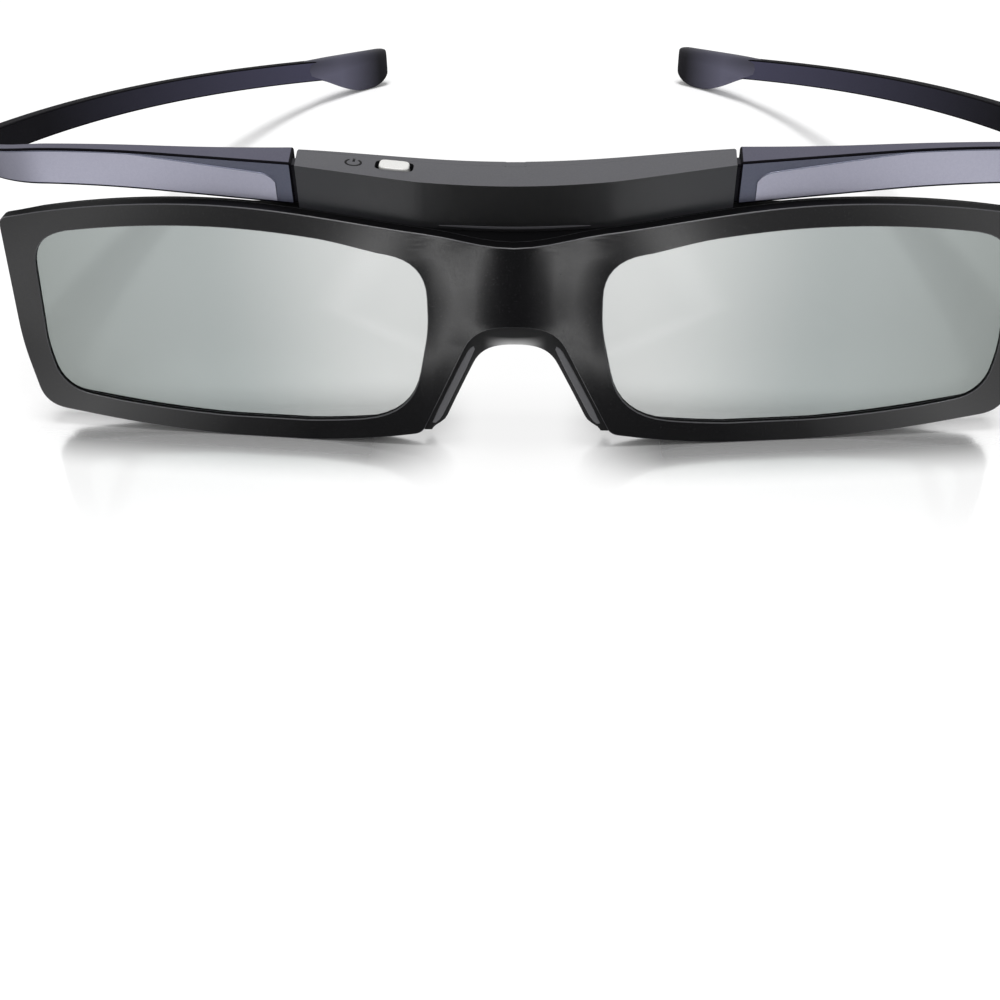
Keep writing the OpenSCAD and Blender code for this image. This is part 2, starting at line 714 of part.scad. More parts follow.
// Cross-section of one station: a box with its long edges eased
function ring(s) = let (w = s[2], h = s[4] - s[3], r = min(w, h) * 0.28,
        pts = [[r, 0], [w - r, 0], [w - r * 0.3, r * 0.3], [w, r], [w, h - r], [w - r * 0.3, h - r * 0.3],
            [w - r, h], [r, h], [r * 0.3, h - r * 0.3], [0, h - r], [0, r], [r * 0.3, r * 0.3]])
    [for (p = pts) [s[0][0] + s[1][0] * p[0], s[0][1] + s[1][1] * p[0], s[3] + p[1]]];
module skin(stations) {
    m = 12;
    n = len(stations);
    polyhedron(
        points = [for (s = stations) each ring(s)],
        faces = concat(
            [[for (j = [0 : m - 1]) j]],
            [for (i = [0 : n - 2], j = [0 : m - 1])
                [i * m + j, (i + 1) * m + j, (i + 1) * m + (j + 1) % m, i * m + (j + 1) % m]],
            [[for (j = [m - 1 : -1 : 0]) (n - 1) * m + j]]));
}

module temple(s) {
    color("#3c3b4c") union() {
        side(s) skin(concat(front_run, corner_run, back_run, core_run));
        plug(s, 0, joint_gap + plug_root);
    }
}
module ear_pad(s) {
    color("#67657a") side(s) difference() {
        skin(pad_run);
        skin(core_run);
    }
}

// The origin lies on the floor under the middle of the whole object
tip_y = max([for (s = pad_run) each [for (p = ring(s)) p[1]]]);
mid_y = (tip_y - bridge_bulge) / 2;
module placed() {
    translate([0, -mid_y, 0]) children();
}

placed() front_frame();
placed() rear_frame();
placed() nose_saddle();
placed() lens_cell(-1);  // lens_cell_left
placed() lens_cell(1);  // lens_cell_right
placed() front_polariser(-1);  // front_polariser_left
placed() front_polariser(1);  // front_polariser_right
placed() rear_polariser(-1);  // rear_polariser_left
placed() rear_polariser(1);  // rear_polariser_right
placed() lens_flex(-1);  // lens_flex_left
placed() lens_flex(1);  // lens_flex_right
placed() module_housing();
placed() module_rear_cover();
placed() cover_screws();
placed() main_board();
placed() control_chip();
placed() crystal_can();
placed() status_led();
placed() tact_switch();
placed() switch_plunger();
placed() power_button();
placed() coin_cell();
placed() contact_plus();
placed() contact_minus();
placed() battery_door();
placed() temple(-1);  // temple_left
placed() temple(1);  // temple_right
placed() ear_pad(-1);  // ear_pad_left
placed() ear_pad(1);  // ear_pad_right
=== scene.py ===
# %% [markdown]
# # Shutter glasses, dressed for a studio picture
# These are battery powered shutter glasses for a television. A lens frame in two halves holds two liquid
# crystal lenses, a module over the bridge holds the electronics, and two wrap-round temples plug into its
# ends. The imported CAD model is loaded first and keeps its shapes. The large visible pieces are then
# modelled again with soft edges and stand in for their solids, because a picture of plastic lives from the
# light on its edges.

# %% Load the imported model
import math

import bmesh
import bpy
from mathutils import Euler, Matrix, Vector


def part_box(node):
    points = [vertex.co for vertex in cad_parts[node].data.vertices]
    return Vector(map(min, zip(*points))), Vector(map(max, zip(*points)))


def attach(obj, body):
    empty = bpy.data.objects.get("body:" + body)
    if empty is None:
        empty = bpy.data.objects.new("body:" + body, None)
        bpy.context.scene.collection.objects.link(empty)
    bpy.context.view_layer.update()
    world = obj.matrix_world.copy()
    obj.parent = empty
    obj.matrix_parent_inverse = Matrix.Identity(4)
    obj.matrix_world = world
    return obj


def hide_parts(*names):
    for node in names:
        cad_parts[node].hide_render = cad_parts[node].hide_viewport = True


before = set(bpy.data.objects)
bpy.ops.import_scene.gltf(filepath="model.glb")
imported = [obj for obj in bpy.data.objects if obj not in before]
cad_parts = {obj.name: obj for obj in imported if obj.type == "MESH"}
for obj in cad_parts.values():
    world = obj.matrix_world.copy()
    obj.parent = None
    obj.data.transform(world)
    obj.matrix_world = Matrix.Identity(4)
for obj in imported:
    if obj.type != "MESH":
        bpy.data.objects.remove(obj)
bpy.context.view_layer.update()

# %% [markdown]
# ## The drawing behind the pieces
# All pieces are drawn in millimetres in the drawing's own frame: x to the viewer's right, y to the rear
# with zero at the fold of the lens planes, z up from the floor. The top edge of the frame, its bottom edge
# and the top of the module are three curves that many pieces share, so they are written once, as functions
# of the distance from the middle. A last step moves each piece by the same amount and turns it to metres.
# The sizes are those of the solids, with small corrections to the picture: the module is 0.6 mm shorter at
# each end.

# %% Sizes and curves of the lens frame
MM = 0.001
half_w, frame_h, bridge_h = 79.5, 41.0, 37.0
brow_x, brow_drop = 46.0, 3.9
sole_x, nose_rise, corner_rise, foot_flat = 40.0, 7.0, 4.6, 0.16
wrap_x, wrap, bridge_bulge = 14.0, math.radians(5), 3.0
lip_t, front_t, rear_lip_t, frame_t, rear_step = 0.9, 2.2, 1.5, 4.2, 0.7
module_h, module_set, mod_half, crest_share = 7.0, 2.3, 31.4, 0.8
# Gaps that keep the faces of pieces that touch from lying in one plane
seam_gap, seat_gap = 0.02, 0.03
mid_y = -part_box("front_frame")[0].y / MM - bridge_bulge


def mix(a, b, t):
    return a + (b - a) * t


def ease(t):
    return (1 - math.cos(math.pi * t)) / 2


def brow(x):
    u = abs(x)
    if u < brow_x:
        return mix(bridge_h, frame_h, ease(u / brow_x))
    return frame_h - brow_drop * ((u - brow_x) / (half_w - brow_x)) ** 2


def sole(x):
    u = abs(x)
    if u < sole_x:
        return max(0, nose_rise * ((sole_x - u) / sole_x) ** 2 - foot_flat)
    return max(0, corner_rise * ((u - sole_x) / (half_w - sole_x)) ** 2 - foot_flat)


def crest(x):
    return bridge_h + module_h + crest_share * (brow(x) - bridge_h)


def plan(x):
    return max(0, abs(x) - wrap_x) * math.tan(wrap)


def bulge(x):
    return bridge_bulge * math.cos(math.pi / 2 * x / wrap_x) ** 2 if abs(x) < wrap_x else 0


print("drawing frame lies", round(mid_y, 2), "mm before the middle; brow", round(brow(brow_x), 1), "mm high")

# %% [markdown]
# ## The camera
# The picture was taken from a little above, close enough that the lens frame fills its width and the elbows
# of the temples leave it. The place and the turn come from a fit of the drawing's corners to the picture,
# with no shift, so any other view keeps its framing.

# %% Camera at the picture's viewing angle
eye = Vector((4.96, -158.45 - mid_y, 115.25)) * MM
pitch, yaw, roll = math.radians(38.525), math.radians(2.809), math.radians(-1.193)
camera_data = bpy.data.cameras.new("picture_camera")
camera_data.sensor_fit = "HORIZONTAL"
camera_data.sensor_width = 36.0
camera_data.lens = 43.2
camera_data.clip_start = 0.01
camera = bpy.data.objects.new("picture_camera", camera_data)
turn = Euler((math.pi / 2 - pitch, 0, yaw)).to_matrix() @ Matrix.Rotation(roll, 3, "Z")
camera.matrix_world = Matrix.Translation(eye) @ turn.to_4x4()
bpy.context.scene.collection.objects.link(camera)
bpy.context.scene.camera = camera
bpy.context.scene.view_settings.view_transform = "Standard"
print("camera", [round(v, 4) for v in eye], "m, lens", camera_data.lens, "mm")

# %% [markdown]
# ## Colours and nodes
# Colours are written as the hex values a painter reads off a screen, and one function turns them into the
# linear values that Blender works with. One more function adds a node, sets its own settings, and fills
# each socket with a value or with a link, so that a material reads from top to bottom like a recipe.

# %% Helpers for materials


def paint(code):
    parts = [int(code[i:i + 2], 16) / 255 for i in (1, 3, 5)]
    return tuple(p / 12.92 if p <= 0.04045 else ((p + 0.055) / 1.055) ** 2.4 for p in parts) + (1.0,)


def add(tree, kind, sockets=None, **settings):
    """Adds a node. A socket takes a value, another node's output, or a node, which gives its first output."""
    made = tree.nodes.new(kind)
    for name, value in settings.items():
        setattr(made, name, value)
    for name, value in (sockets or {}).items():
        if isinstance(value, bpy.types.Node):
            value = value.outputs[0]
        if isinstance(value, bpy.types.NodeSocket):
            tree.links.new(value, made.inputs[name])
        else:
            made.inputs[name].default_value = value
    return made


def blank_material(name):
    """A new material, its node tree and the socket of the Object coordinates that its patterns read."""
    made = bpy.data.materials.new(name)
    made.use_nodes = True
    made.node_tree.nodes.clear()
    coords = add(made.node_tree, "ShaderNodeTexCoord")
    return made, made.node_tree, coords.outputs["Object"]


print("white reads", [round(v, 2) for v in paint("#ffffff")])

# %% [markdown]
# ## The floor
# The glasses stand on a white sweep. It is polished in a strip before them and shows a faint mirror image
# there, and right before the rims a blurred mirror of their dark faces darkens it as a contact shadow would.
# Below the nose it glows, a painted light over the shadow of the module and bridge, and far off it glows so
# that it runs into the white behind. Upright black plastic mirrors the floor before it, so glossy rays, and
# no others, see white cards on dark cloth instead of the sweep: narrow ones for the bridge, up to about
# seven times as bright as white, and wide ones for the temples. All of it is placed by the position on the
# floor, so it stays put when the camera moves.

# %% White sweep with its cards
floor_finish, tree, coords = blank_material("white_sweep")
place = add(tree, "ShaderNodeSeparateXYZ", {"Vector": coords}).outputs
aside = add(tree, "ShaderNodeMath", {0: place["X"]}, operation="ABSOLUTE")
# The polished strip: before the glasses, beside the nose and within the frame's width
polish = add(tree, "ShaderNodeMapRange", {
    "Value": place["Y"], "From Min": -118 * MM, "From Max": -92 * MM}, interpolation_type="SMOOTHSTEP")
before = add(tree, "ShaderNodeMapRange", {
    "Value": place["Y"], "From Min": -80 * MM, "From Max": -72 * MM, "To Min": 1.0, "To Max": 0.0})
beside = add(tree, "ShaderNodeMapRange", {"Value": aside, "From Min": 9 * MM, "From Max": 24 * MM})
within = add(tree, "ShaderNodeMapRange", {
    "Value": aside, "From Min": 80 * MM, "From Max": 88 * MM, "To Min": 1.0, "To Max": 0.0})
for mask in (before, within):
    beside = add(tree, "ShaderNodeMath", {0: beside, 1: mask}, operation="MULTIPLY")
polish = add(tree, "ShaderNodeMath", {0: polish, 1: beside}, operation="MULTIPLY")
paper = add(tree, "ShaderNodeBsdfPrincipled", {
    "Base Color": paint("#fbfbfb"), "Roughness": 0.1, "IOR": 1.7, "Specular IOR Level": polish})
# The glow below the nose, a painted light over the shadow of the module and bridge, and far off
below = add(tree, "ShaderNodeMapRange", {
    "Value": aside, "From Min": 6 * MM, "From Max": 20 * MM, "To Min": 0.85, "To Max": 0.08},
    interpolation_type="SMOOTHSTEP")
span = add(tree, "ShaderNodeVectorMath", {0: coords}, operation="LENGTH")
far = add(tree, "ShaderNodeMapRange", {
    "Value": span.outputs["Value"], "From Min": 0.3, "From Max": 0.9, "To Min": 0.08, "To Max": 1.0})
lit = add(tree, "ShaderNodeMath", {0: below, 1: far}, operation="MAXIMUM")
glow = add(tree, "ShaderNodeEmission", {"Color": paint("#ffffff"), "Strength": 1.0})
sheet = add(tree, "ShaderNodeMixShader", {0: lit, 1: paper, 2: glow})
# A blurred mirror right before the rims shows their dark faces and so darkens the floor like a contact shadow
ahead = add(tree, "ShaderNodeMath", {0: aside, 1: -0.09, 2: place["Y"]}, operation="MULTIPLY_ADD")
touch = add(tree, "ShaderNodeMapRange", {
    "Value": ahead, "From Min": -97 * MM, "From Max": -87 * MM, "To Min": 0.0, "To Max": 0.7},
    interpolation_type="SMOOTHSTEP")
touch = add(tree, "ShaderNodeMath", {0: touch, 1: beside}, operation="MULTIPLY")
shine = add(tree, "ShaderNodeBsdfGlossy", {"Color": paint("#ffffff"), "Roughness": 0.2})
sheet = add(tree, "ShaderNodeMixShader", {0: touch, 1: sheet, 2: shine})
# The cards by distance from the middle, which shifts with the distance from the glasses
card_span = 200
fan = add(tree, "ShaderNodeMapRange", {
    "Value": place["Y"], "From Min": -122 * MM, "From Max": -100 * MM, "To Min": -20 * MM, "To Max": 20 * MM})
share = add(tree, "ShaderNodeMath", {0: aside, 1: fan}, operation="ADD")
share = add(tree, "ShaderNodeMath", {0: share, 1: card_span * MM}, operation="DIVIDE")
cards = add(tree, "ShaderNodeValToRGB", {"Fac": share})
cards.color_ramp.elements[0].color = (0.01, 0.01, 0.01, 1)
cards.color_ramp.elements[1].color = (0.1, 0.1, 0.1, 1)
for mm, level in (
        (17, 0.02), (23.5, 2.2), (29, 0.12), (50, 0.1), (68, 0.1), (94, 0.48), (118, 0.24), (155, 0.07)):
    cards.color_ramp.elements.new(mm / card_span).color = (level, level, level, 1)
# Their power is lower behind the lens planes, and close to the legs of the bridge
power = add(tree, "ShaderNodeMath", {0: before, 1: 2.5, 2: 0.7}, operation="MULTIPLY_ADD")
close = add(tree, "ShaderNodeMapRange", {
    "Value": place["Y"], "From Min": -113 * MM, "From Max": -104 * MM, "To Min": 0.0, "To Max": 0.7})
centre = add(tree, "ShaderNodeMapRange", {
    "Value": aside, "From Min": 34 * MM, "From Max": 50 * MM, "To Min": 1.0, "To Max": 0.0})
cloth = add(tree, "ShaderNodeMath", {0: close, 1: centre}, operation="MULTIPLY")
keep = add(tree, "ShaderNodeMath", {0: 1.0, 1: cloth}, operation="SUBTRACT")
power = add(tree, "ShaderNodeMath", {0: power, 1: keep}, operation="MULTIPLY")
mirrored = add(tree, "ShaderNodeEmission", {"Color": cards, "Strength": power})
rays = add(tree, "ShaderNodeLightPath").outputs
gloss_only = add(tree, "ShaderNodeMath", {
    0: rays["Is Glossy Ray"], 1: rays["Is Transmission Ray"]}, operation="SUBTRACT")
both = add(tree, "ShaderNodeMixShader", {0: gloss_only, 1: sheet, 2: mirrored})
add(tree, "ShaderNodeOutputMaterial", {"Surface": both})
bm = bmesh.new()
bmesh.ops.create_grid(bm, x_segments=1, y_segments=1, size=2.5)
floor_mesh = bpy.data.meshes.new("floor")
bm.to_mesh(floor_mesh)
bm.free()
floor_mesh.materials.append(floor_finish)
floor = bpy.data.objects.new("floor", floor_mesh)
bpy.context.scene.collection.objects.link(floor)
print("floor:", floor_finish.name, "with", len(cards.color_ramp.elements), "stops along the cards")

# %% [markdown]
# ## World and lamps
# A large lamp high above gives the soft shadows under the frame and the temples, a weak one in front draws
# the light lines on the edges, and the world fills the rest. The camera, mirrors and glass see the world as
# white, while it lights the pieces at a lower level.

# %% White world and two lamps
world = bpy.data.worlds.new("white_studio")
world.use_nodes = True
tree = world.node_tree
tree.nodes.clear()
rays = add(tree, "ShaderNodeLightPath").outputs
seen = rays["Is Camera Ray"]
for kind in ("Is Glossy Ray", "Is Transmission Ray"):
    seen = add(tree, "ShaderNodeMath", {0: seen, 1: rays[kind]}, operation="MAXIMUM")
level = add(tree, "ShaderNodeMapRange", {"Value": seen, "To Min": 0.4, "To Max": 1.0})
sky = add(tree, "ShaderNodeBackground", {"Color": paint("#ffffff"), "Strength": level})
add(tree, "ShaderNodeOutputWorld", {"Surface": sky})
bpy.context.scene.world = world


def lamp(name, place, aim, size, watts):
    data = bpy.data.lights.new(name, "AREA")
    data.shape, data.size, data.energy = "DISK", size, watts
    made = bpy.data.objects.new(name, data)
    heading = (Vector(aim) - Vector(place)).to_track_quat("-Z", "Y")
    made.matrix_world = Matrix.Translation(place) @ heading.to_matrix().to_4x4()
    bpy.context.scene.collection.objects.link(made)


lamp("overhead_lamp", (0.0, -0.12, 1.6), (0, 0.05, 0), 0.6, 18.5)
lamp("front_lamp", (-0.2, -0.7, 0.75), (0, -0.07, 0.02), 0.5, 1.2)

# %% [markdown]
# ## Black frame plastic
# The frame is taken to be injection moulded ABS, dyed black, from a finely etched mould. To the eye it is a
# deep grey-black with a soft satin sheen that breaks up a little. The etch is a fine noise of about 0.2 mm
# that drives both the roughness and a very shallow bump, and a slow second noise shifts the colour a little
# over the piece. In the picture the side walls are darker than the face and the eased edges are lighter, so
# the walls get a painted shade and the edges a painted highlight. The module's front is painted paler
# towards its ends, a painted light that runs along x, and its top faces get a lighter charcoal, a painted
# light.

# %% Shades of moulded ABS
cloud_mm, etch_mm, rough_swing = 9.0, 0.02, 0.05


def moulded_abs(name, dark, light, grit_mm, rough, bump, gloss=0.5, painted_shift=None):
    """Dyed ABS from an etched mould: satin, with a fine grit that shows as broken highlights.
    painted_shift paints light or shade: an axis, two places on it in mm and the shade that the piece
    takes on between them."""
    made, tree, coords = blank_material(name)
    grit = add(tree, "ShaderNodeTexNoise", {
        "Vector": coords, "Scale": 1 / (grit_mm * MM), "Detail": 3.0, "Roughness": 0.6})
    cloud = add(tree, "ShaderNodeTexNoise", {"Vector": coords, "Scale": 1 / (cloud_mm * MM), "Detail": 2.0})
    tone = add(tree, "ShaderNodeMixRGB", {0: cloud, 1: paint(dark), 2: paint(light)})
    # Painted light or shade that runs along one axis of the piece
    if painted_shift:
        axis, start, end, other = painted_shift
        reach = add(tree, "ShaderNodeSeparateXYZ", {"Vector": coords}).outputs[axis]
        if axis == "X":
            reach = add(tree, "ShaderNodeMath", {0: reach}, operation="ABSOLUTE")
        along = add(tree, "ShaderNodeMapRange", {
            "Value": reach, "From Min": start * MM, "From Max": end * MM})
        tone = add(tree, "ShaderNodeMixRGB", {0: along, 1: tone, 2: paint(other)})
    satin = add(tree, "ShaderNodeMapRange", {
        "Value": grit, "From Min": 0.3, "From Max": 0.7,
        "To Min": rough - rough_swing, "To Max": rough + rough_swing})
    etch = add(tree, "ShaderNodeBump", {"Height": grit, "Strength": bump, "Distance": etch_mm * MM})
    shade = add(tree, "ShaderNodeBsdfPrincipled", {
        "Base Color": tone, "Roughness": satin, "Normal": etch, "IOR": 1.5, "Specular IOR Level": gloss})
    add(tree, "ShaderNodeOutputMaterial", {"Surface": shade})
    return made


frame_black = moulded_abs("moulded_abs_black", "#0d0d0f", "#131315", 0.22, 0.23, 0.03)
# Eased edges of the front frame: a painted highlight, lighter than the face
painted_highlight_black_edges = moulded_abs("moulded_abs_painted_highlight_edges", "#39393c", "#404043", 0.22, 0.3, 0.1)
# Side walls and tops of the frame: a painted shade, darker than the face
painted_shade_black_walls = moulded_abs("moulded_abs_painted_shade_walls", "#030304", "#060607", 0.22, 0.5, 0.3, gloss=0.05)
rear_black = moulded_abs("moulded_abs_rear_black", "#101012", "#151517", 0.22, 0.5, 0.3, gloss=0.3)
# Front and rear of the module: charcoal painted with light, paler towards the ends along x
painted_end_light_charcoal = moulded_abs(
    "moulded_abs_painted_end_light_charcoal", "#060608", "#0a0a0c", 0.3, 0.36, 0.3, painted_shift=("X", 8, 31, "#2b2c30"))
# Top faces of the module and rear cover, and the front lip: a lighter charcoal, painted light
painted_top_light_charcoal = moulded_abs("moulded_abs_painted_top_light_charcoal", "#444448", "#4a4a4e", 0.3, 0.55, 0.4, gloss=0.3)
door_charcoal = moulded_abs("moulded_abs_door", "#1b1c20", "#222327", 0.3, 0.46, 0.4)
button_white = moulded_abs("moulded_abs_white", "#cfcfcc", "#d6d6d3", 0.2, 0.3, 0.1)
print("shades of ABS:", frame_black.name, painted_end_light_charcoal.name, button_white.name)

# %% [markdown]
# ## Pearl paint on the temples
# The outer face of the temples looks like a paint with fine metal flakes under a clear coat: a pale violet
# silver on the raised panel and a slate blue on the border round it. To the eye it is bright where it
# mirrors the floor and dark where it turns away; metallic shading with a coat gives that swing. Real flakes
# are about 0.05 mm; they are drawn at 0.2 mm so that a trace of them shows. The top and the inner skin are
# navy plastic painted with light and shade: the tops before the corner are a lighter navy, the tops behind
# it and the eased edges near black, and the inner skin is dark at the corner and paler towards the ear, as
# in the picture.

# %% Pearl paints and dull navy skins
flake_mm = 0.2


def pearl_paint(name, dark, light, metal):
    """Flake paint under a clear coat: swings from pale to dark as it turns, with a trace of sparkle."""
    made, tree, coords = blank_material(name)
    flakes = add(tree, "ShaderNodeTexVoronoi", {"Vector": coords, "Scale": 1 / (flake_mm * MM)})
    glint = add(tree, "ShaderNodeSeparateColor", {"Color": flakes.outputs["Color"]}).outputs
    tone = add(tree, "ShaderNodeMixRGB", {0: glint["Red"], 1: paint(dark), 2: paint(light)})
    sheen = add(tree, "ShaderNodeMapRange", {"Value": glint["Green"], "To Min": 0.34, "To Max": 0.4})
    shade = add(tree, "ShaderNodeBsdfPrincipled", {
        "Base Color": tone, "Roughness": sheen, "Metallic": metal,
        "Coat Weight": 0.3, "Coat Roughness": 0.12})
    add(tree, "ShaderNodeOutputMaterial", {"Surface": shade})
    return made


pearl_silver = pearl_paint("pearl_paint_silver", "#b2b2c4", "#b7b7c8", 0.8)
pearl_slate = pearl_paint("pearl_paint_slate", "#5c5f70", "#606373", 0.7)
# Tops of the temples before the corner: a lighter navy, painted light
painted_top_light_navy = moulded_abs("moulded_abs_painted_top_light_navy", "#3b3a4a", "#434252", 0.25, 0.5, 0.3, gloss=0.25)
# Inner skin of the temples: painted shade, dark at the corner and paler towards the ear along y
painted_light_navy_inner = moulded_abs(
    "moulded_abs_painted_light_navy_inner", "#0d0c13", "#121118", 0.25, 0.5, 0.3, gloss=0.1, painted_shift=("Y", -40, 65, "#48475b"))
# Tops behind the corner and eased edges of the temples: near black, a painted shade
painted_edge_shade_navy = moulded_abs("moulded_abs_painted_edge_shade_navy", "#060509", "#09080d", 0.25, 0.6, 0.2, gloss=0.03)
print("paints:", pearl_silver.name, pearl_slate.name, painted_top_light_navy.name, painted_light_navy_inner.name)

# %% [markdown]
# ## Rubber and lens glass
# The ear pads and the nose saddle are taken to be thermoplastic rubber with a dull bloom. The lenses are
# two glass plates with a liquid crystal between them and a polariser on each side, so they dim the light
# and turn it grey-green. In the picture a lens is darker at its outer side than beside the nose, so the
# tint runs along x. The plates leave hardly any shadow there, so light on its way to the floor passes
# almost freely. The mirror image in them is weak, as on films coated against glare, so the refractive index
# is set below that of glass.

# %% Soft and clear finishes
pit_mm, pit_deep_mm, bloom_mm = 0.3, 0.03, 6.0


def soft_rubber(name, dark, light, painted_notch_light=0.0, painted_tip_shade=None):
    """Thermoplastic rubber: no clear highlight, a pale bloom at grazing angles and a fine pitted skin.
    painted_notch_light is a painted light, how pale the edge under the top of the nose notch turns;
    painted_tip_shade is a painted shade, deeper at a pad's tip and along its upper edge."""
    made, tree, coords = blank_material(name)
    pits = add(tree, "ShaderNodeTexNoise", {"Vector": coords, "Scale": 1 / (pit_mm * MM), "Detail": 4.0})
    cloud = add(tree, "ShaderNodeTexNoise", {"Vector": coords, "Scale": 1 / (bloom_mm * MM)})
    tone = add(tree, "ShaderNodeMixRGB", {0: cloud, 1: paint(dark), 2: paint(light)})
    place = add(tree, "ShaderNodeSeparateXYZ", {"Vector": coords}).outputs
    aside = add(tree, "ShaderNodeMath", {0: place["X"]}, operation="ABSOLUTE")
    # A painted shade, deeper at the pad's tip and along its upper edge
    if painted_tip_shade:
        tip = add(tree, "ShaderNodeMapRange", {"Value": aside, "From Min": 41 * MM, "From Max": 50 * MM})
        top = add(tree, "ShaderNodeMapRange", {
            "Value": place["Z"], "From Min": 7 * MM, "From Max": 13 * MM, "To Min": 1.0, "To Max": 0.0})
        unshaded = add(tree, "ShaderNodeMath", {0: tip, 1: top}, operation="MULTIPLY")
        tone = add(tree, "ShaderNodeMixRGB", {0: unshaded, 1: paint(painted_tip_shade), 2: tone})
    # A painted light: the edge under the top of the nose notch turns pale
    if painted_notch_light:
        middle = add(tree, "ShaderNodeMapRange", {
            "Value": aside, "From Min": 0.5 * MM, "From Max": 5 * MM, "To Min": painted_notch_light, "To Max": 0.0},
            interpolation_type="SMOOTHSTEP")
        under = add(tree, "ShaderNodeMapRange", {
            "Value": place["Z"], "From Min": 20.4 * MM, "From Max": 21.9 * MM, "To Min": 1.0, "To Max": 0.0})
        pale = add(tree, "ShaderNodeMath", {0: middle, 1: under}, operation="MULTIPLY")
        tone = add(tree, "ShaderNodeMixRGB", {0: pale, 1: tone, 2: paint("#c4c4c4")})
    skin = add(tree, "ShaderNodeBump", {"Height": pits, "Strength": 0.35, "Distance": pit_deep_mm * MM})
    dull = add(tree, "ShaderNodeMapRange", {"Value": pits, "To Min": 0.52, "To Max": 0.68})
    shade = add(tree, "ShaderNodeBsdfPrincipled", {
        "Base Color": tone, "Roughness": dull, "Normal": skin, "IOR": 1.5, "Specular IOR Level": 0.3,
        "Sheen Weight": 0.06, "Sheen Roughness": 0.5})
    add(tree, "ShaderNodeOutputMaterial", {"Surface": shade})
    return made


# Ear pads: violet rubber with a painted shade at the tip and along the upper edge
pad_rubber = soft_rubber("soft_rubber_violet", "#5d5c6f", "#656478", painted_tip_shade="#15141b")
# Nose saddle: black rubber with a painted light on the edge under the notch's top
saddle_rubber = soft_rubber("soft_rubber_black", "#0d0d0f", "#131315", painted_notch_light=0.9)
# Grey strips of the saddle: their pale grey is a painted reflection of a sheen
painted_sheen_strip_grey = soft_rubber("soft_rubber_painted_sheen_grey", "#5e5e61", "#666669")

lens_glass, tree, coords = blank_material("polarised_glass")
place = add(tree, "ShaderNodeSeparateXYZ", {"Vector": coords}).outputs
reach = add(tree, "ShaderNodeMath", {0: place["X"]}, operation="ABSOLUTE")
tint = paint("#cfd1d0")
for start, end, deeper in ((17, 50, "#a5abaa"), (46, 88, "#8d9390")):
    run = add(tree, "ShaderNodeMapRange", {
        "Value": reach, "From Min": start * MM, "From Max": end * MM}, interpolation_type="SMOOTHSTEP")
    tint = add(tree, "ShaderNodeMixRGB", {0: run, 1: tint, 2: paint(deeper)})
shade = add(tree, "ShaderNodeBsdfPrincipled", {
    "Base Color": tint, "Roughness": 0.0, "IOR": 1.15, "Transmission Weight": 1.0})
clear = add(tree, "ShaderNodeBsdfTransparent", {"Color": paint("#f2f4f3")})
rays = add(tree, "ShaderNodeLightPath").outputs
glass = add(tree, "ShaderNodeMixShader", {0: rays["Is Shadow Ray"], 1: shade, 2: clear})
add(tree, "ShaderNodeOutputMaterial", {"Surface": glass})
print("soft and clear:", pad_rubber.name, saddle_rubber.name, lens_glass.name)

# %% [markdown]
# ## From drawing to piece
# Every piece goes through the same last step: doubles merged, faces turned outwards, millimetres to metres
# and the drawing's frame to the shared frame. A Bevel modifier rounds the edges that are sharper than a
# limit, and its hardened normals keep the large faces flat to the eye. The piece then rides on its CAD body
# and stands in for the CAD nodes that are named.

# %% One last step for every piece
same_point, sharp_edge = 1e-4, math.radians(38)


def settle(bm, name, finishes, body, nodes=(), edge=0.3, segments=3, line=-1):
    """Turns a drawing into a piece; edge is the width of its eased edges and line is their finish."""
    bmesh.ops.remove_doubles(bm, verts=bm.verts, dist=same_point)
    bmesh.ops.recalc_face_normals(bm, faces=bm.faces)
    bmesh.ops.translate(bm, verts=bm.verts, vec=(0, -mid_y, 0))
    bmesh.ops.scale(bm, verts=bm.verts, vec=(MM, MM, MM))
    for face in bm.faces:
        face.smooth = True
    mesh = bpy.data.meshes.new(name)
    bm.to_mesh(mesh)
    bm.free()
    for finish in finishes:
        mesh.materials.append(finish)
    piece = bpy.data.objects.new(name, mesh)
    bpy.context.scene.collection.objects.link(piece)
    if edge:
        soften = piece.modifiers.new("soft_edges", "BEVEL")
        soften.width, soften.segments = edge * MM, segments
        soften.limit_method, soften.angle_limit = "ANGLE", sharp_edge
        soften.harden_normals = True
        soften.material = line
    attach(piece, body)
    if nodes:
        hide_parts(*nodes)
    print(name, len(mesh.polygons), "faces on", body)


print("edges sharper than", round(math.degrees(sharp_edge)), "degrees are eased")

# %% [markdown]
# ## Outlines of frame and lens opening
# The frame's half outline and the lens opening are drawn as corners joined by the shared curves. A corner
# may have a setback, and the curve between its two set-back points then rounds it, as a draughtsman would
# with a French curve. Both outlines get the same number of points in the same order, so one can be extruded
# into the other.

# %% Rounded outlines
rim_top, rim_bottom, rim_side, side_z = 3.5, 3.9, 4.0, 16.0
lens_in, lens_foot, lens_out, nose_z = 13.1, 16.5, half_w - rim_side, 22.0
nose_dip, nose_dip_x, nose_dip_run, step_run = 0.9, 16, 14, 8
notch_h, notch_foot, notch_top = 24.1, 15.2, 5.7
side_tilt, foot_tilt, lens_tilt, lens_foot_tilt = 2, 0.8, 2.2, 0.5
top_round, side_round, foot_round, notch_foot_round, notch_round = 1.2, 4, 3.5, 1.3, 5
lens_nose_round, lens_round, lens_side_round, lens_foot_round, nose_round = 6, 5, 2, 8, 3
steps_top, steps_sole = 26, 20


def ramp(x, start, run):
    """Eased rise from 0 to 1 over a run of the distance from the middle."""
    return ease(min(1, max(0, (abs(x) - start) / run)))


def lens_top(x):
    """Top edge of the lens opening, which dips towards the nose."""
    return brow(x) - rim_top - nose_dip * (1 - ramp(x, nose_dip_x, nose_dip_run))


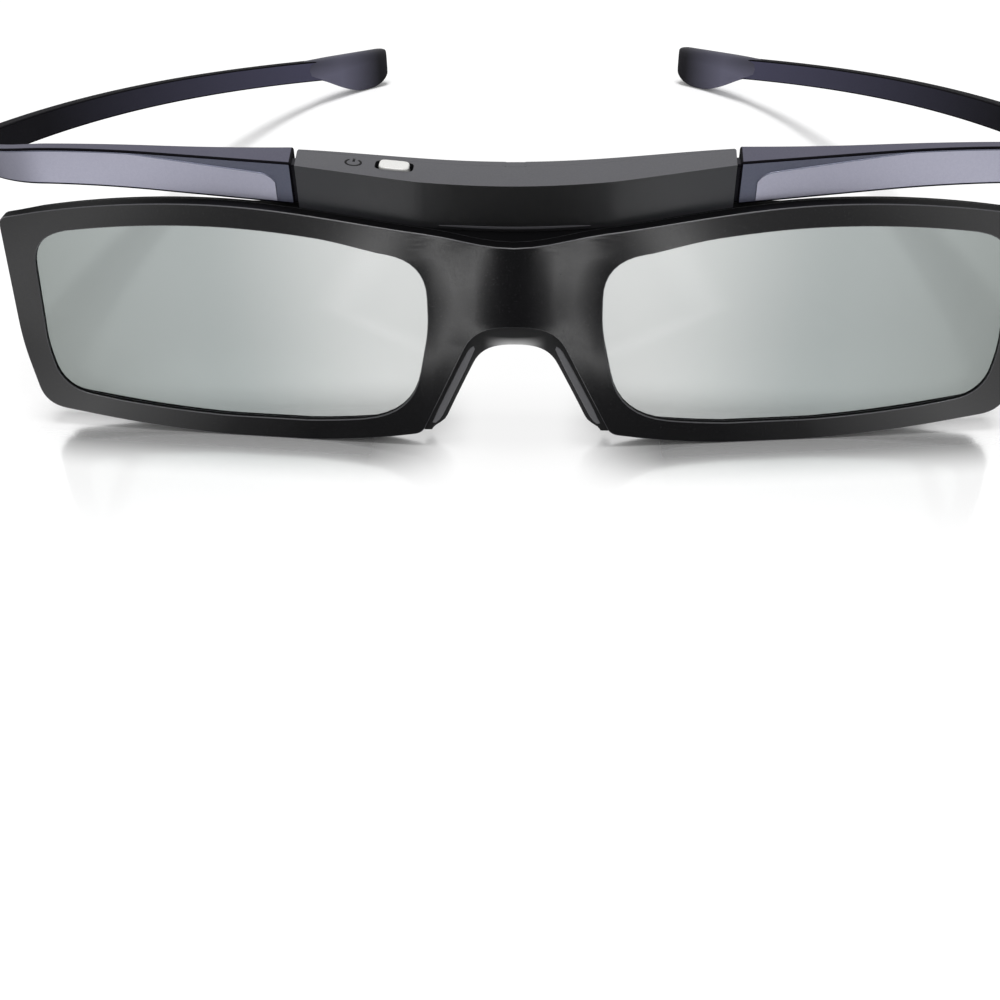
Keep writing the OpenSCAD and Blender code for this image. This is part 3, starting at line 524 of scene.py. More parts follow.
def rounded(corners, segments=8):
    """A path of (x, z, setback) corners; a corner with a setback turns into a curve."""
    made = []
    for i, (x, z, back) in enumerate(corners):
        here = Vector((x, z))
        if not back:
            made.append(here)
            continue
        before = Vector(corners[i - 1][:2])
        after = Vector(corners[(i + 1) % len(corners)][:2])
        a = here + (before - here).normalized() * back
        b = here + (after - here).normalized() * back
        made += [a.lerp(here, t / segments).lerp(here.lerp(b, t / segments), t / segments)
                 for t in range(segments + 1)]
    return made


def spread(a, b, count):
    return [mix(a, b, i / (count - 1)) for i in range(count)]


def half_outline(g=0.0):
    """Right half of the frame, stepped in by g, from the notch's middle over the top and along the sole."""
    middle = [(0, mix(notch_h, bridge_h, t), 0) for t in spread(0, 1, 5)]
    middle += [(x, brow(x), 0) for x in (2.5, 5, 7.5, 10)]
    return rounded(
        middle
        + [(x, brow(x) - g * ramp(x, mod_half, step_run), 0) for x in spread(13, half_w - 8, steps_top)]
        + [(half_w - side_tilt - g, brow(half_w - side_tilt) - g, top_round),
           (half_w - g, side_z, side_round),
           (half_w - foot_tilt - g, sole(half_w) - foot_tilt / 2, foot_round)]
        + [(x, sole(x), 0) for x in spread(half_w - 9, notch_foot + 4, steps_sole)]
        + [(notch_foot, sole(notch_foot), notch_foot_round), (notch_top, notch_h - 0.2, notch_round)])


def lens_outline(g=0.0):
    """Right lens opening, grown by g, with its points in the same order as the half outline."""
    return rounded(
        [(lens_in - g, lens_top(lens_in) + g, lens_nose_round)]
        + [(x, lens_top(x) + g, 0) for x in spread(lens_in + 7, lens_out - 8, steps_top)]
        + [(lens_out - lens_tilt + g, lens_top(lens_out) + g, lens_round),
           (lens_out + g, side_z, lens_side_round),
           (lens_out - lens_foot_tilt + g, sole(lens_out) + rim_bottom - g, lens_round)]
        + [(x, sole(x) + rim_bottom - g, 0) for x in spread(lens_out - 10, lens_foot + 9, steps_sole)]
        + [(lens_foot - g, sole(lens_foot) + rim_bottom - g, lens_foot_round),
           (lens_in + 0.1 - g, nose_z, nose_round)])


print("outline points:", len(half_outline()), "opening points:", len(lens_outline()))

# %% [markdown]
# ## The lens frame
# The frame is read as two mouldings, a front half with the face and a rear half, joined at a seam round the
# edge, with the lens in a pocket between their lips. Here the loop of the lens opening is drawn out to the
# pocket's edge and on to the outline, which gives a flat rim of clean quads; loops on the way let it follow
# the bridge that stands forward. The rim is extruded to the depth of the lip, its outer band on to the
# seam, and the half is mirrored, with no wall left at the middle.

# %% Rim halves
lens_lip = 1.4


def closed_chain(bm, points):
    verts = [bm.verts.new((p[0], 0, p[1])) for p in points]
    return verts, [bm.edges.new((verts[i - 1], verts[i])) for i in range(len(verts))]


def extruded_ring(bm, verts, edges, targets):
    """Extrudes a closed ring once and sends each new point to its target."""
    old = set(bm.verts)
    bmesh.ops.extrude_edge_only(bm, edges=edges)
    made = [next(e.other_vert(v) for e in v.link_edges if e.other_vert(v) not in old) for v in verts]
    for vert, target in zip(made, targets):
        vert.co = target
    return made, [bm.edges.get((made[i - 1], made[i])) for i in range(len(made))]


def only(kind, geom):
    """The parts of one kind, verts, edges or faces, in what an operator gives back."""
    return [g for g in geom if isinstance(g, kind)]


def extruded_faces(bm, faces):
    """Extrudes faces once and gives the new points."""
    return only(bmesh.types.BMVert, bmesh.ops.extrude_face_region(bm, geom=faces)["geom"])


def in_plane(points):
    """Sets points of the lens drawing to their place across the turned lens plane."""
    return [(wrap_x + (p[0] - wrap_x) * math.cos(wrap), p[1]) for p in points]


def rim_half(name, finishes, node, outline, grown, face, shelf, seam):
    """One half of the frame; face, shelf and seam give the depth of its face, pocket floor and seam at x.
    grown is how much the opening at the pocket's floor, the pocket and the opening at the face are grown."""
    bm = bmesh.new()
    verts, edges = closed_chain(bm, in_plane(lens_outline(grown[0])))
    pocket = in_plane(lens_outline(grown[1]))
    ring, edges = extruded_ring(bm, verts, edges, [(x, 0, z) for x, z in pocket])
    lip = set(bm.faces)
    for part in (0.25, 0.5, 0.75, 1):
        row = [(mix(a[0], b[0], part), 0, mix(a[1], b[1], part)) for a, b in zip(pocket, outline)]
        ring, edges = extruded_ring(bm, ring, edges, row)
    for quad in bm.faces:
        quad.material_index = 0 if quad in lip else 1
    lifted = bmesh.ops.extrude_face_region(bm, geom=bm.faces[:])["geom"]
    inner = set(only(bmesh.types.BMVert, lifted))
    for vert, point in zip(verts, in_plane(lens_outline(grown[2]))):
        vert.co.x, vert.co.z = point
    for vert in bm.verts:
        vert.co.y = (shelf if vert in inner else face)(vert.co.x)
    band = [f for f in only(bmesh.types.BMFace, lifted) if f.material_index == 1]
    for vert in extruded_faces(bm, band):
        vert.co.y = seam(vert.co.x)
    bmesh.ops.delete(bm, geom=band, context="FACES")
    middle = [f for f in bm.faces if all(abs(v.co.x) < 1e-5 for v in f.verts)]
    bmesh.ops.delete(bm, geom=middle, context="FACES")
    bmesh.ops.mirror(bm, geom=bm.verts[:] + bm.edges[:] + bm.faces[:], merge_dist=same_point, axis="X")
    bmesh.ops.recalc_face_normals(bm, faces=bm.faces)
    # Faces that do not look forwards take the second finish, the painted shade of the walls
    for quad in bm.faces:
        quad.material_index = 0 if abs(quad.normal.y) > 0.6 else 1
    settle(bm, name, finishes, "front", [node], edge=0.4, line=2)


# Front half: its face, the painted shade of its walls and the painted highlight of its eased edges
rim_half("frame_front_half", [frame_black, painted_shade_black_walls, painted_highlight_black_edges], "front_frame",
         half_outline(), (0, lens_lip, 0),
         face=lambda x: plan(x) - bulge(x),
         shelf=lambda x: plan(x) - bulge(x) + lip_t,
         seam=lambda x: plan(x) - bulge(x) + front_t)
# Rear half: its walls and eased edges take the painted shade
rim_half("frame_rear_half", [rear_black, painted_shade_black_walls, painted_shade_black_walls], "rear_frame",
         half_outline(rear_step), (0.95, 2.2, 1.9),
         face=lambda x: plan(x) + frame_t,
         shelf=lambda x: plan(x) + frame_t - rear_lip_t,
         seam=lambda x: plan(x) - bulge(x) + front_t + seam_gap)

# %% [markdown]
# ## The lenses
# Each lens is a flat laminate 1.75 mm thick, held in a pocket all round. The outline of the opening, grown
# by the overlap, is filled and extruded, and the plate is turned into its lens plane about the fold of the
# frame.

# %% Lens laminates
lens_lap, lens_t = 1.25, 1.75
sides = ((-1, "left"), (1, "right"))


def turned_plane(side):
    """Turns a drawing of the right lens into its lens plane, mirrored for the left."""
    about = Vector((wrap_x, 0, 0))
    turn = Matrix.Translation(about) @ Matrix.Rotation(wrap, 4, "Z") @ Matrix.Translation(-about)
    return Matrix.Scale(side, 4, (1, 0, 0)) @ turn


for side, word in sides:
    bm = bmesh.new()
    edges = closed_chain(bm, lens_outline(lens_lap))[1]
    plate = bmesh.ops.contextual_create(bm, geom=edges)["faces"]
    bmesh.ops.translate(bm, verts=extruded_faces(bm, plate), vec=(0, lens_t, 0))
    bmesh.ops.translate(bm, verts=bm.verts, vec=(0, lip_t + seat_gap, 0))
    bmesh.ops.transform(bm, matrix=turned_plane(side), verts=bm.verts)
    settle(bm, "lens_" + word, [lens_glass], "front",
           ["lens_cell_" + word, "front_polariser_" + word, "rear_polariser_" + word], edge=0.1, segments=2)

# %% [markdown]
# ## The nose saddle
# A soft black U lines the notch and rests on the nose, set back a little behind the face, with a grey strip
# let into each side, whose pale grey is a painted reflection of a sheen. Behind the bridge it spreads into a
# flange with two short wings that turn outwards.
# Its section has seven corners and is extruded along the U from foot to foot, so the lining and the flange
# are one skin. The strips are extruded the same way and narrow at both ends. The wings are cubes, stretched
# and turned into place.

# %% Soft saddle with wings
saddle_t, saddle_in, saddle_h, saddle_set, saddle_low = 1.0, 2.2, 3.3, 0.9, 3.4
wing_d, wing_t, wing_l, wing_flare, wing_root = 6.0, 1.6, 13.0, math.radians(16), 0.5
foot_thin, foot_run, ridge_back = 2.2, 2.6, 0.35
# Strips: height of the middle, half length, place across the lining and half width as shares; proud and deep
strip_mid, strip_half, strip_at, strip_wide, strip_proud, strip_deep = 0.45, 0.41, 0.47, 0.23, 0.08, 0.6


def saddle_path(foot, low, top, high, r):
    """A U from foot to foot, with points along its straight sides that lie closer near the feet."""
    shares = [0.66 * t ** 1.5 for t in spread(0, 1, 14)]
    side = [(mix(foot, top, t), mix(low, high, t), 0) for t in shares] + [(top, high, r)]
    return rounded(side + [(-x, z, back) for x, z, back in reversed(side)], segments=10)


def extruded_arm(bm, rings, finish=0):
    """Extrudes the first ring of points through all the others and closes both ends."""
    known = set(bm.faces)
    verts = [bm.verts.new(p) for p in rings[0]]
    edges = list(bm.faces.new(verts).edges)
    for ring in rings[1:]:
        verts, edges = extruded_ring(bm, verts, edges, ring)
    bm.faces.new(verts)
    for face in set(bm.faces) - known:
        face.material_index = finish


low = sole(notch_foot) + 0.2
inside = [(math.copysign(abs(x) + foot_thin * max(0.0, 1 - (z - low) / foot_run) ** 2, x), z) for x, z in
          saddle_path(notch_foot - 3.0, low, notch_top - 1.0, notch_h - saddle_h - 0.4, 4.6)]
ridge = saddle_path(notch_foot - 1.6, low, notch_top - 0.7, notch_h - 2.0, 4.8)
outside = saddle_path(notch_foot - 0.2, low, notch_top - 0.1, notch_h - 0.3, 5)
flange = saddle_path(notch_foot + 1.2, saddle_low, notch_top + 1.2, notch_h + 3, 5)
y_lap, y_rear = frame_t + seat_gap, frame_t + saddle_t
rings = []
for a, b, c, d in zip(inside, ridge, outside, flange):
    y_ridge, y_outside = (saddle_set - bulge(p[0]) for p in (b, c))
    rings.append([(a[0], y_ridge + ridge_back, a[1]), (b[0], y_ridge, b[1]), (c[0], y_outside, c[1]),
                  (c[0], y_lap, c[1]), (d[0], y_lap, d[1]), (d[0], y_rear, d[1]), (a[0], y_rear, a[1])])
bm = bmesh.new()
extruded_arm(bm, rings)
half = len(rings) // 2
for side in (-1, 1):
    strip = []
    for a, b in list(zip(outside, inside))[:half]:
        off = abs((a[1] - low) / (notch_h - low) - strip_mid) / strip_half
        if off < 1:
            wide = strip_wide * max(0.02, 1 - off ** 6) ** 0.5
            brink, bank = (Vector(a[:2]).lerp(Vector(b[:2]), strip_at + w) for w in (-wide, wide))
            strip.append([(side * abs(p.x), saddle_set - bulge(p.x) + y, p.y) for p, y in (
                (brink, -strip_proud), (bank, -strip_proud), (bank, strip_deep), (brink, strip_deep))])
    extruded_arm(bm, strip, 1)
lean = math.atan((notch_foot - notch_top) / notch_h)
for side in (-1, 1):
    wing = bmesh.ops.create_cube(bm, size=1.0)["verts"]
    bmesh.ops.translate(bm, verts=wing, vec=(0.5, 0.5, 0.5))
    bmesh.ops.scale(bm, verts=wing, vec=(wing_t, wing_d - wing_root, wing_l))
    bmesh.ops.translate(bm, verts=wing, vec=(0, wing_root, 0))
    place = (Matrix.Scale(side, 4, (1, 0, 0))
             @ Matrix.Translation((notch_foot - saddle_in, frame_t, saddle_low + saddle_t))
             @ Matrix.Rotation(-lean, 4, "Y") @ Matrix.Rotation(-wing_flare, 4, "Z"))
    bmesh.ops.transform(bm, matrix=place, verts=wing)
settle(bm, "nose_rest", [saddle_rubber, painted_sheen_strip_grey], "front", ["nose_saddle"], edge=0.25)

# %% [markdown]
# ## The centre module
# The module is a low box that follows the brow below and the crest above, with its ends splayed towards the
# rear. The ends are plain faces that the plugs of the temples pass through. A cube, cut into slices along
# x, takes that shape when each of its corners is sent to the curves. The slot of the power button is a real
# hole: a patch of the top is removed, an oval loop is bridged into it and drawn down, so the button can
# sink when it is pressed. The round bowl of the coin cell hangs behind the bridge. The top faces take a
# lighter charcoal, a painted light from above, and a narrow lip low on the front takes it too, as a painted
# highlight line.

# %% Module housing with the button's slot
splay = math.radians(5)
joint_y = plan(mod_half) + module_set
pod_y, cover_y, rear_y, rear_bow = 6.0, 9.2, 11.2, 1.3
pod_r, cell_z, top_z = 12.2, 32.6, 8
button_x, button_y, button_l, button_d, well_d = 17.5, 7.1, 4.8, 3.2, 2.1
slot_more_l, slot_more_d, patch_half, bowl_under = 0.8, 0.1, 4, 0.3
lip_half, lip_up, lip_h, lip_proud, lip_in = 11, 0.5, 0.3, 0.15, 0.3


def end_x(y):
    return mod_half + (y - joint_y) * math.tan(splay)


def sliced_boxes(bm, places, cuts):
    """Cubes of side 2 at places along x, cut into slices."""
    for x in places:
        bmesh.ops.create_cube(bm, size=2.0, matrix=Matrix.Translation((x, 0, 0)))
    long_edges = [e for e in bm.edges if abs(e.verts[0].co.x - e.verts[1].co.x) > 1]
    bmesh.ops.subdivide_edges(bm, edges=long_edges, cuts=cuts, use_grid_fill=True)


def oval(bm, length, depth, points):
    """A flat loop between an oval and a box, at the button's place on the module's top."""
    loop = bmesh.ops.create_circle(bm, segments=points, radius=1.0)["verts"]
    for vert in loop:
        x, y = (math.copysign(abs(c) ** 0.45, c) for c in vert.co[:2])
        vert.co = (-button_x + x * length / 2, button_y + y * depth / 2, 0)
        vert.co.z = crest(vert.co.x)
    return loop


def capped_top(bm, verts, z):
    """Cuts a round part off at a height and closes the cut."""
    parts = list({g for v in verts for g in list(v.link_faces) + list(v.link_edges)}) + list(verts)
    cut = bmesh.ops.bisect_plane(bm, geom=parts, plane_co=(0, 0, z), plane_no=(0, 0, 1), clear_outer=True)
    bmesh.ops.holes_fill(bm, edges=only(bmesh.types.BMEdge, cut["geom_cut"]), sides=0)


def shade_top(bm):
    """Gives the faces on the module's top the second finish, a lighter charcoal painted with light."""
    bmesh.ops.recalc_face_normals(bm, faces=bm.faces)
    for face in bm.faces:
        upper = face.normal.z > 0.8 and face.calc_center_median().z > cell_z + top_z
        face.material_index = 1 if upper else 0


bm = bmesh.new()
sliced_boxes(bm, (0,), 63)
for vert in bm.verts:
    u, back, up = vert.co.x, vert.co.y > 0, vert.co.z > 0
    y = cover_y if back else plan(u * mod_half) + module_set
    x = u * (end_x(cover_y) if back else mod_half)
    vert.co = (x, y, crest(x) if up else brow(x) + seam_gap)
patch = [f for f in bm.faces if abs(f.calc_center_median().x + button_x) < patch_half and f.normal.z > 0.9]
rim_edges = [e for e in {e for f in patch for e in f.edges} if sum(f in patch for f in e.link_faces) == 1]
bmesh.ops.delete(bm, geom=patch, context="FACES_KEEP_BOUNDARY")
slot_loop = oval(bm, button_l + slot_more_l, button_d + slot_more_d, len(rim_edges))
slot_edges = [e for e in bm.edges if e.verts[0] in slot_loop and e.verts[1] in slot_loop]
bmesh.ops.bridge_loops(bm, edges=rim_edges + slot_edges)
well = bmesh.ops.extrude_edge_only(bm, edges=slot_edges)["geom"]
bmesh.ops.translate(bm, verts=only(bmesh.types.BMVert, well), vec=(0, 0, -well_d))
bmesh.ops.contextual_create(bm, geom=[e for e in only(bmesh.types.BMEdge, well) if e.is_boundary])
bowl = bmesh.ops.create_cone(
    bm, cap_ends=True, segments=96, radius1=pod_r, radius2=pod_r, depth=cover_y - pod_y)["verts"]
bmesh.ops.rotate(bm, verts=bowl, matrix=Matrix.Rotation(math.pi / 2, 3, "X"))
bmesh.ops.translate(bm, verts=bowl, vec=(0, (cover_y + pod_y) / 2, cell_z))
capped_top(bm, bowl, crest(0) - bowl_under)
shade_top(bm)
# A narrow lip low on the front takes the lighter top finish, a painted highlight line
lip = []
for x in spread(-lip_half, lip_half, 24):
    y, z, tall = plan(x) + module_set, brow(x) + lip_up, lip_h * max(0.05, 1 - (x / lip_half) ** 4)
    lip.append([(x, y - lip_proud, z), (x, y + lip_in, z),
                (x, y + lip_in, z + tall), (x, y - lip_proud, z + tall)])
extruded_arm(bm, lip, 1)
settle(bm, "module_shell", [painted_end_light_charcoal, painted_top_light_charcoal], "front", ["module_housing"],
       edge=0.2, line=0)

# %% [markdown]
# ## Rear cover and battery door
# The rear cover closes the module with two shallow bands and a ring round the battery door. The bands run
# into the ring, so their inner ends follow its circle. The door is a disc with a slot for a coin: the disc
# is cut along the slot's four sides, and the face between the cuts is pushed in.

# %% Cover with its ring
door_r, door_play, ring_lap, ring_under = 10.65, 0.08, 0.6, 0.05
ring_r = door_r + door_play
band_top_x, band_low_x = 6, 11


def rear(x):
    return rear_y - rear_bow * (x / mod_half) ** 2


bm = bmesh.new()
sliced_boxes(bm, (-2, 2), 24)
for vert in bm.verts:
    side, t = math.copysign(1, vert.co.x), (abs(vert.co.x) - 1) / 2
    back, up = vert.co.y > 0, vert.co.z > 0
    z = crest(band_top_x) if up else brow(band_low_x)
    inner = math.sqrt(max(0.0, (pod_r - ring_lap) ** 2 - (z - cell_z) ** 2))
    x = mix(inner, end_x(rear(mod_half) if back else cover_y), t)
    vert.co = (side * x, rear(x) if back else cover_y + seat_gap, crest(x) if up else brow(x) + seam_gap)
ring = bmesh.ops.create_circle(bm, segments=128, radius=ring_r)["verts"]
ring_edges = list({e for v in ring for e in v.link_edges})
wide = only(bmesh.types.BMVert, bmesh.ops.extrude_edge_only(bm, edges=ring_edges)["geom"])
bmesh.ops.scale(bm, verts=wide, vec=(pod_r / ring_r, pod_r / ring_r, 1))
deep = extruded_faces(bm, list({f for v in ring for f in v.link_faces}))
bmesh.ops.translate(bm, verts=deep, vec=(0, 0, rear_y - cover_y - seat_gap))
whole = ring + wide + deep
bmesh.ops.rotate(bm, verts=whole, matrix=Matrix.Rotation(-math.pi / 2, 3, "X"))
bmesh.ops.translate(bm, verts=whole, vec=(0, cover_y + seat_gap, cell_z))
capped_top(bm, whole, crest(0) - ring_under)
shade_top(bm)
settle(bm, "module_back", [painted_end_light_charcoal, painted_top_light_charcoal], "front", ["module_rear_cover"],
       edge=0.25)

# %% Door with its coin slot
slot_l, slot_w, slot_d, door_t = 12.0, 1.6, 0.8, 1.6
bm = bmesh.new()
bmesh.ops.create_circle(bm, cap_ends=True, segments=128, radius=door_r)
for axis, half in ((Vector((1, 0, 0)), slot_l / 2), (Vector((0, 1, 0)), slot_w / 2)):
    for side in (-1, 1):
        bmesh.ops.bisect_plane(
            bm, geom=bm.faces[:] + bm.edges[:] + bm.verts[:], plane_co=axis * half * side, plane_no=axis)
centres = {f: f.calc_center_median() for f in bm.faces}
bottom = [f for f, c in centres.items() if abs(c.x) < slot_l / 2 and abs(c.y) < slot_w / 2]
outline = [e for e in bm.edges if e.is_boundary]
bmesh.ops.translate(bm, verts=extruded_faces(bm, bottom), vec=(0, 0, -slot_d))
bmesh.ops.delete(bm, geom=bottom, context="FACES")
wall = only(bmesh.types.BMVert, bmesh.ops.extrude_edge_only(bm, edges=outline)["geom"])
bmesh.ops.translate(bm, verts=wall, vec=(0, 0, -door_t))
bmesh.ops.rotate(bm, verts=bm.verts, matrix=Matrix.Rotation(-math.pi / 2, 3, "X"))
bmesh.ops.translate(bm, verts=bm.verts, vec=(0, rear_y, cell_z))
settle(bm, "coin_door", [door_charcoal], "door", ["battery_door"], edge=0.2)

# %% [markdown]
# ## Power button and its mark
# The button is a white oval that stands a little above the module, in a dark slot that is longer than
# itself. An oval loop is filled and extruded upwards, and the bevel crowns it. The mark beside it is the
# common power sign: a ring with a gap and a bar, drawn as a thin print on the module's top.

# %% Button and power mark
button_up, button_down, cap_less_l, cap_less_d = 0.3, 1.4, 0.4, 0.2
bm = bmesh.new()
cap_loop = oval(bm, button_l - cap_less_l, button_d - cap_less_d, 32)
bottom = bmesh.ops.contextual_create(bm, geom=cap_loop)["faces"]
top = set(extruded_faces(bm, bottom))
for vert in bm.verts:
    vert.co.z += button_up if vert in top else -button_down
settle(bm, "button_cap", [button_white], "button", ["power_button"], edge=0.25)

mark_x, mark_r, mark_line, print_t = -23.4, 1.1, 0.34, 0.04
mark_in = mark_r - mark_line / 2
bm = bmesh.new()
bmesh.ops.create_circle(bm, segments=40, radius=mark_in)
wide = only(bmesh.types.BMVert, bmesh.ops.extrude_edge_only(bm, edges=bm.edges[:])["geom"])
bmesh.ops.scale(bm, verts=wide, vec=(1 + mark_line / mark_in, 1 + mark_line / mark_in, 1))
gap = [f for f in bm.faces if f.calc_center_median().y > mark_r * 0.8]
bmesh.ops.delete(bm, geom=gap, context="FACES")
bar = bmesh.ops.create_grid(bm, x_segments=1, y_segments=1, size=0.5)["verts"]
bmesh.ops.scale(bm, verts=bar, vec=(mark_line, mark_r * 0.95, 1))
bmesh.ops.translate(bm, verts=bar, vec=(0, mark_r * 0.7, 0))
bmesh.ops.translate(bm, verts=bm.verts, vec=(mark_x, button_y - 0.15, 0))
for vert in bm.verts:
    vert.co.z = crest(vert.co.x) - print_t / 2
bmesh.ops.translate(bm, verts=extruded_faces(bm, bm.faces[:]), vec=(0, 0, print_t))
print_black = moulded_abs("pad_print_black", "#040405", "#08080a", 0.2, 0.6, 0.1, gloss=0.1)
settle(bm, "power_mark", [print_black], "front", edge=0)

# %% [markdown]
# ## The temples
# Each temple leaves the module as a deep bar, thins into a band, turns the corner and runs back in one long
# sweep to the ear. A four-cornered section is extruded from station to station along that path, so the
# whole arm is one skin, and the bevel eases its long edges. The outer skin is pearl painted and the inner
# one is dull; it and the tops carry painted light and shade. The tongue that plugs into the module is a cube
# on the same body, and a dark shoulder before it closes most of the joint's gap to the eye, a dark block that
# stands in for the shade in that gap. A thin raised panel lies on the outer face.

# %% Path and sections of a temple
arm_w0, arm_w1, arm_h0, arm_h1, arm_h2 = 6.0, 2.2, 6.3, 5.5, 4.3
arm_clear, arm_slope, joint_gap, arm_turn = 0.45, 0.05, 0.5, 10
corner_x, corner_r, corner_drop, corner_sag, corner_thin = 69.0, 18.0, 4.0, 0.6, 0.55
temple_d, tip_x, tip_z, tip_lead, tip_lift, pad_at = 170.0, 40.2, 5.2, 20, 4, 0.77
joint_z = brow(mod_half) + arm_h0 / 2 + arm_clear
corner_z = joint_z + (corner_x - mod_half) * arm_slope
corner_c = Vector((corner_x - corner_r * math.sin(wrap),
                   plan(corner_x) + module_set + corner_r * math.cos(wrap)))
side_run, side_fall = (temple_d - corner_c.y) * 0.41, 0.227
side_x, back_z = corner_c.x + corner_r, corner_z - corner_drop
sweep = [Vector((side_x, corner_c.y, back_z)),
         Vector((side_x, corner_c.y + side_run, back_z - side_fall * side_run)),
         Vector((mix(tip_x, side_x, 0.74), temple_d - tip_lead, tip_z + tip_lift)),
         Vector((tip_x, temple_d, tip_z))]


def back(t):
    a, b, c, d = sweep
    return (1 - t) ** 3 * a + 3 * t * (1 - t) ** 2 * b + 3 * t * t * (1 - t) * c + t ** 3 * d


def inward(t):
    a, b, c, d = sweep
    along = (1 - t) ** 2 * (b - a) + 2 * t * (1 - t) * (c - b) + t * t * (d - c)
    return Vector((-along.y, along.x)).normalized()


def arm_h(t):
    return arm_h2 + t


def front_stations(count):
    """(outer point, direction inwards, depth, middle height, height) from the joint to the corner."""
    made = []
    for t in spread(0, 1, count):
        x = mix(mod_half + joint_gap, corner_x, t)
        a = mix(splay, -wrap, ramp(x, mod_half + joint_gap, arm_turn))
        mid = mix(joint_z, corner_z, t) - corner_sag * max(0.0, t - 0.55) ** 2 / 0.2
        made.append((Vector((x, plan(x) + module_set)), Vector((math.sin(a), math.cos(a))),
                     mix(arm_w1, arm_w0, (1 - t) ** 2), mid, mix(arm_h0, arm_h1, t)))
    return made


def corner_stations(count):
    made = []
    for t in spread(0, 1, count)[1:]:
        a = mix(wrap - math.pi / 2, 0, t)
        out = Vector((math.cos(a), math.sin(a)))
        made.append((corner_c + corner_r * out, -out, arm_w1,
                     corner_z - mix(corner_sag, corner_drop, t ** 1.3),
                     mix(arm_h1, arm_h2, ease(min(1, t / corner_thin)))))
    return made


def back_stations(count, end):
    return [(back(t).to_2d(), inward(t), arm_w1, back(t).z, arm_h(t)) for t in spread(0, end, count)[1:]]


def box_ring(side, near, far, low, high):
    """The four corners of an upright section between two points of the plan."""
    return [(side * near.x, near.y, low), (side * far.x, far.y, low),
            (side * far.x, far.y, high), (side * near.x, near.y, high)]


print("temple: corner at", [round(v, 1) for v in corner_c], "side at", round(side_x, 1), "mm")

# %% Temple arms with their plugs
plug_l, plug_y, plug_t, plug_h, plug_rise, plug_root = 10.0, 6.7, 2.3, 2.4, math.radians(4), 3.5
shoulder_run, shoulder_deep, shoulder_low, shoulder_top = (-0.72, 1.0), (0.35, 3.2), 0.1, 0.5
stations = front_stations(26) + corner_stations(26) + back_stations(64, pad_at + 0.06)
for side, word in sides:
    bm = bmesh.new()
    extruded_arm(bm, [box_ring(side, at, at + into * width, mid - height / 2, mid + height / 2)
                      for at, into, width, mid, height in stations])
    bmesh.ops.recalc_face_normals(bm, faces=bm.faces)
    for face in bm.faces:
        middle = face.calc_center_median().to_2d()
        near = min(stations, key=lambda s: (Vector((side * s[0].x, s[0].y)) - middle).length)
        outer = face.normal.to_2d().dot(Vector((side * near[1].x, near[1].y))) < -0.6
        # Tops before the corner take the painted light and tops behind it the painted shade
        top = 2 if middle.y < corner_c.y - 8 else 3
        face.material_index = 0 if outer else top if face.normal.z > 0.6 else 1
    at, into, width, mid, height = stations[0]
    along = Vector((into.y, -into.x))
    # The shoulder is a dark block that stands in for the shade in the joint's gap
    rings = []
    for gap in shoulder_run:
        near, far = (at + into * depth + along * gap for depth in shoulder_deep)
        low, high = mid - height / 2 + shoulder_low, mid + height / 2 - shoulder_top
        rings.append(box_ring(side, near, far, low, high))
    extruded_arm(bm, rings, 1)
    tongue = bmesh.ops.create_cube(bm, size=1.0)["verts"]
    bmesh.ops.scale(bm, verts=tongue, vec=(plug_l + plug_root, plug_t, plug_h))
    bmesh.ops.translate(bm, verts=tongue, vec=((plug_root - plug_l) / 2, plug_y + plug_t / 2, 0))
    place = (Matrix.Scale(side, 4, (1, 0, 0)) @ Matrix.Translation((mod_half, 0, joint_z))
             @ Matrix.Rotation(-plug_rise, 4, "Y"))
    bmesh.ops.transform(bm, matrix=place, verts=tongue)
    settle(bm, "temple_arm_" + word, [pearl_slate, painted_light_navy_inner, painted_top_light_navy, painted_edge_shade_navy], word + "_temple",
           ["temple_" + word], edge=0.3, line=3)

# %% Raised panel on the outer face
panel_start, panel_round, panel_proud, panel_in, panel_low = 34.0, 2.6, 0.14, 0.3, 0.3
border_joint, border_thin, border_run = 1.9, 0.3, 22
panel_stations = [s for s in front_stations(60) if s[0].x > panel_start] + corner_stations(20)[:16]
for side, word in sides:
    rings = []
    for at, into, width, mid, height in panel_stations:
        gone = at.x - panel_start
        top = mid + height / 2 - mix(border_joint, border_thin, min(1, gone / border_run))
        if gone < panel_round:
            top -= panel_round * (1 - math.sqrt(max(0.0, 1 - (1 - gone / panel_round) ** 2)))
        low = mid - height / 2 + panel_low
        rings.append(box_ring(side, at - into * panel_proud, at + into * panel_in, low, top))
    bm = bmesh.new()
    extruded_arm(bm, rings)
    settle(bm, "temple_panel_" + word, [pearl_silver, pearl_slate], word + "_temple",
           edge=0.12, line=1)

# %% [markdown]
# ## The ear pads
# A soft pad is moulded over the last part of each temple. It grows out of the arm, deepens until it rests
# on the floor, and turns up into a blunt nose. Its section is a loop between an ellipse and a box, extruded
# along the same sweep, and the last sections shrink to close the nose.

# %% Soft ear pads
pad_w, pad_sides, pad_rise, pad_swell, pad_ramp, pad_lap = 3.4, 20, 4.4, 0.4, 0.74, 0.08
nose_at, nose_thin, nose_top, nose_low, heel_at, heel_up = 0.9, 0.4, 0.5, 0.9, 0.78, 2.2


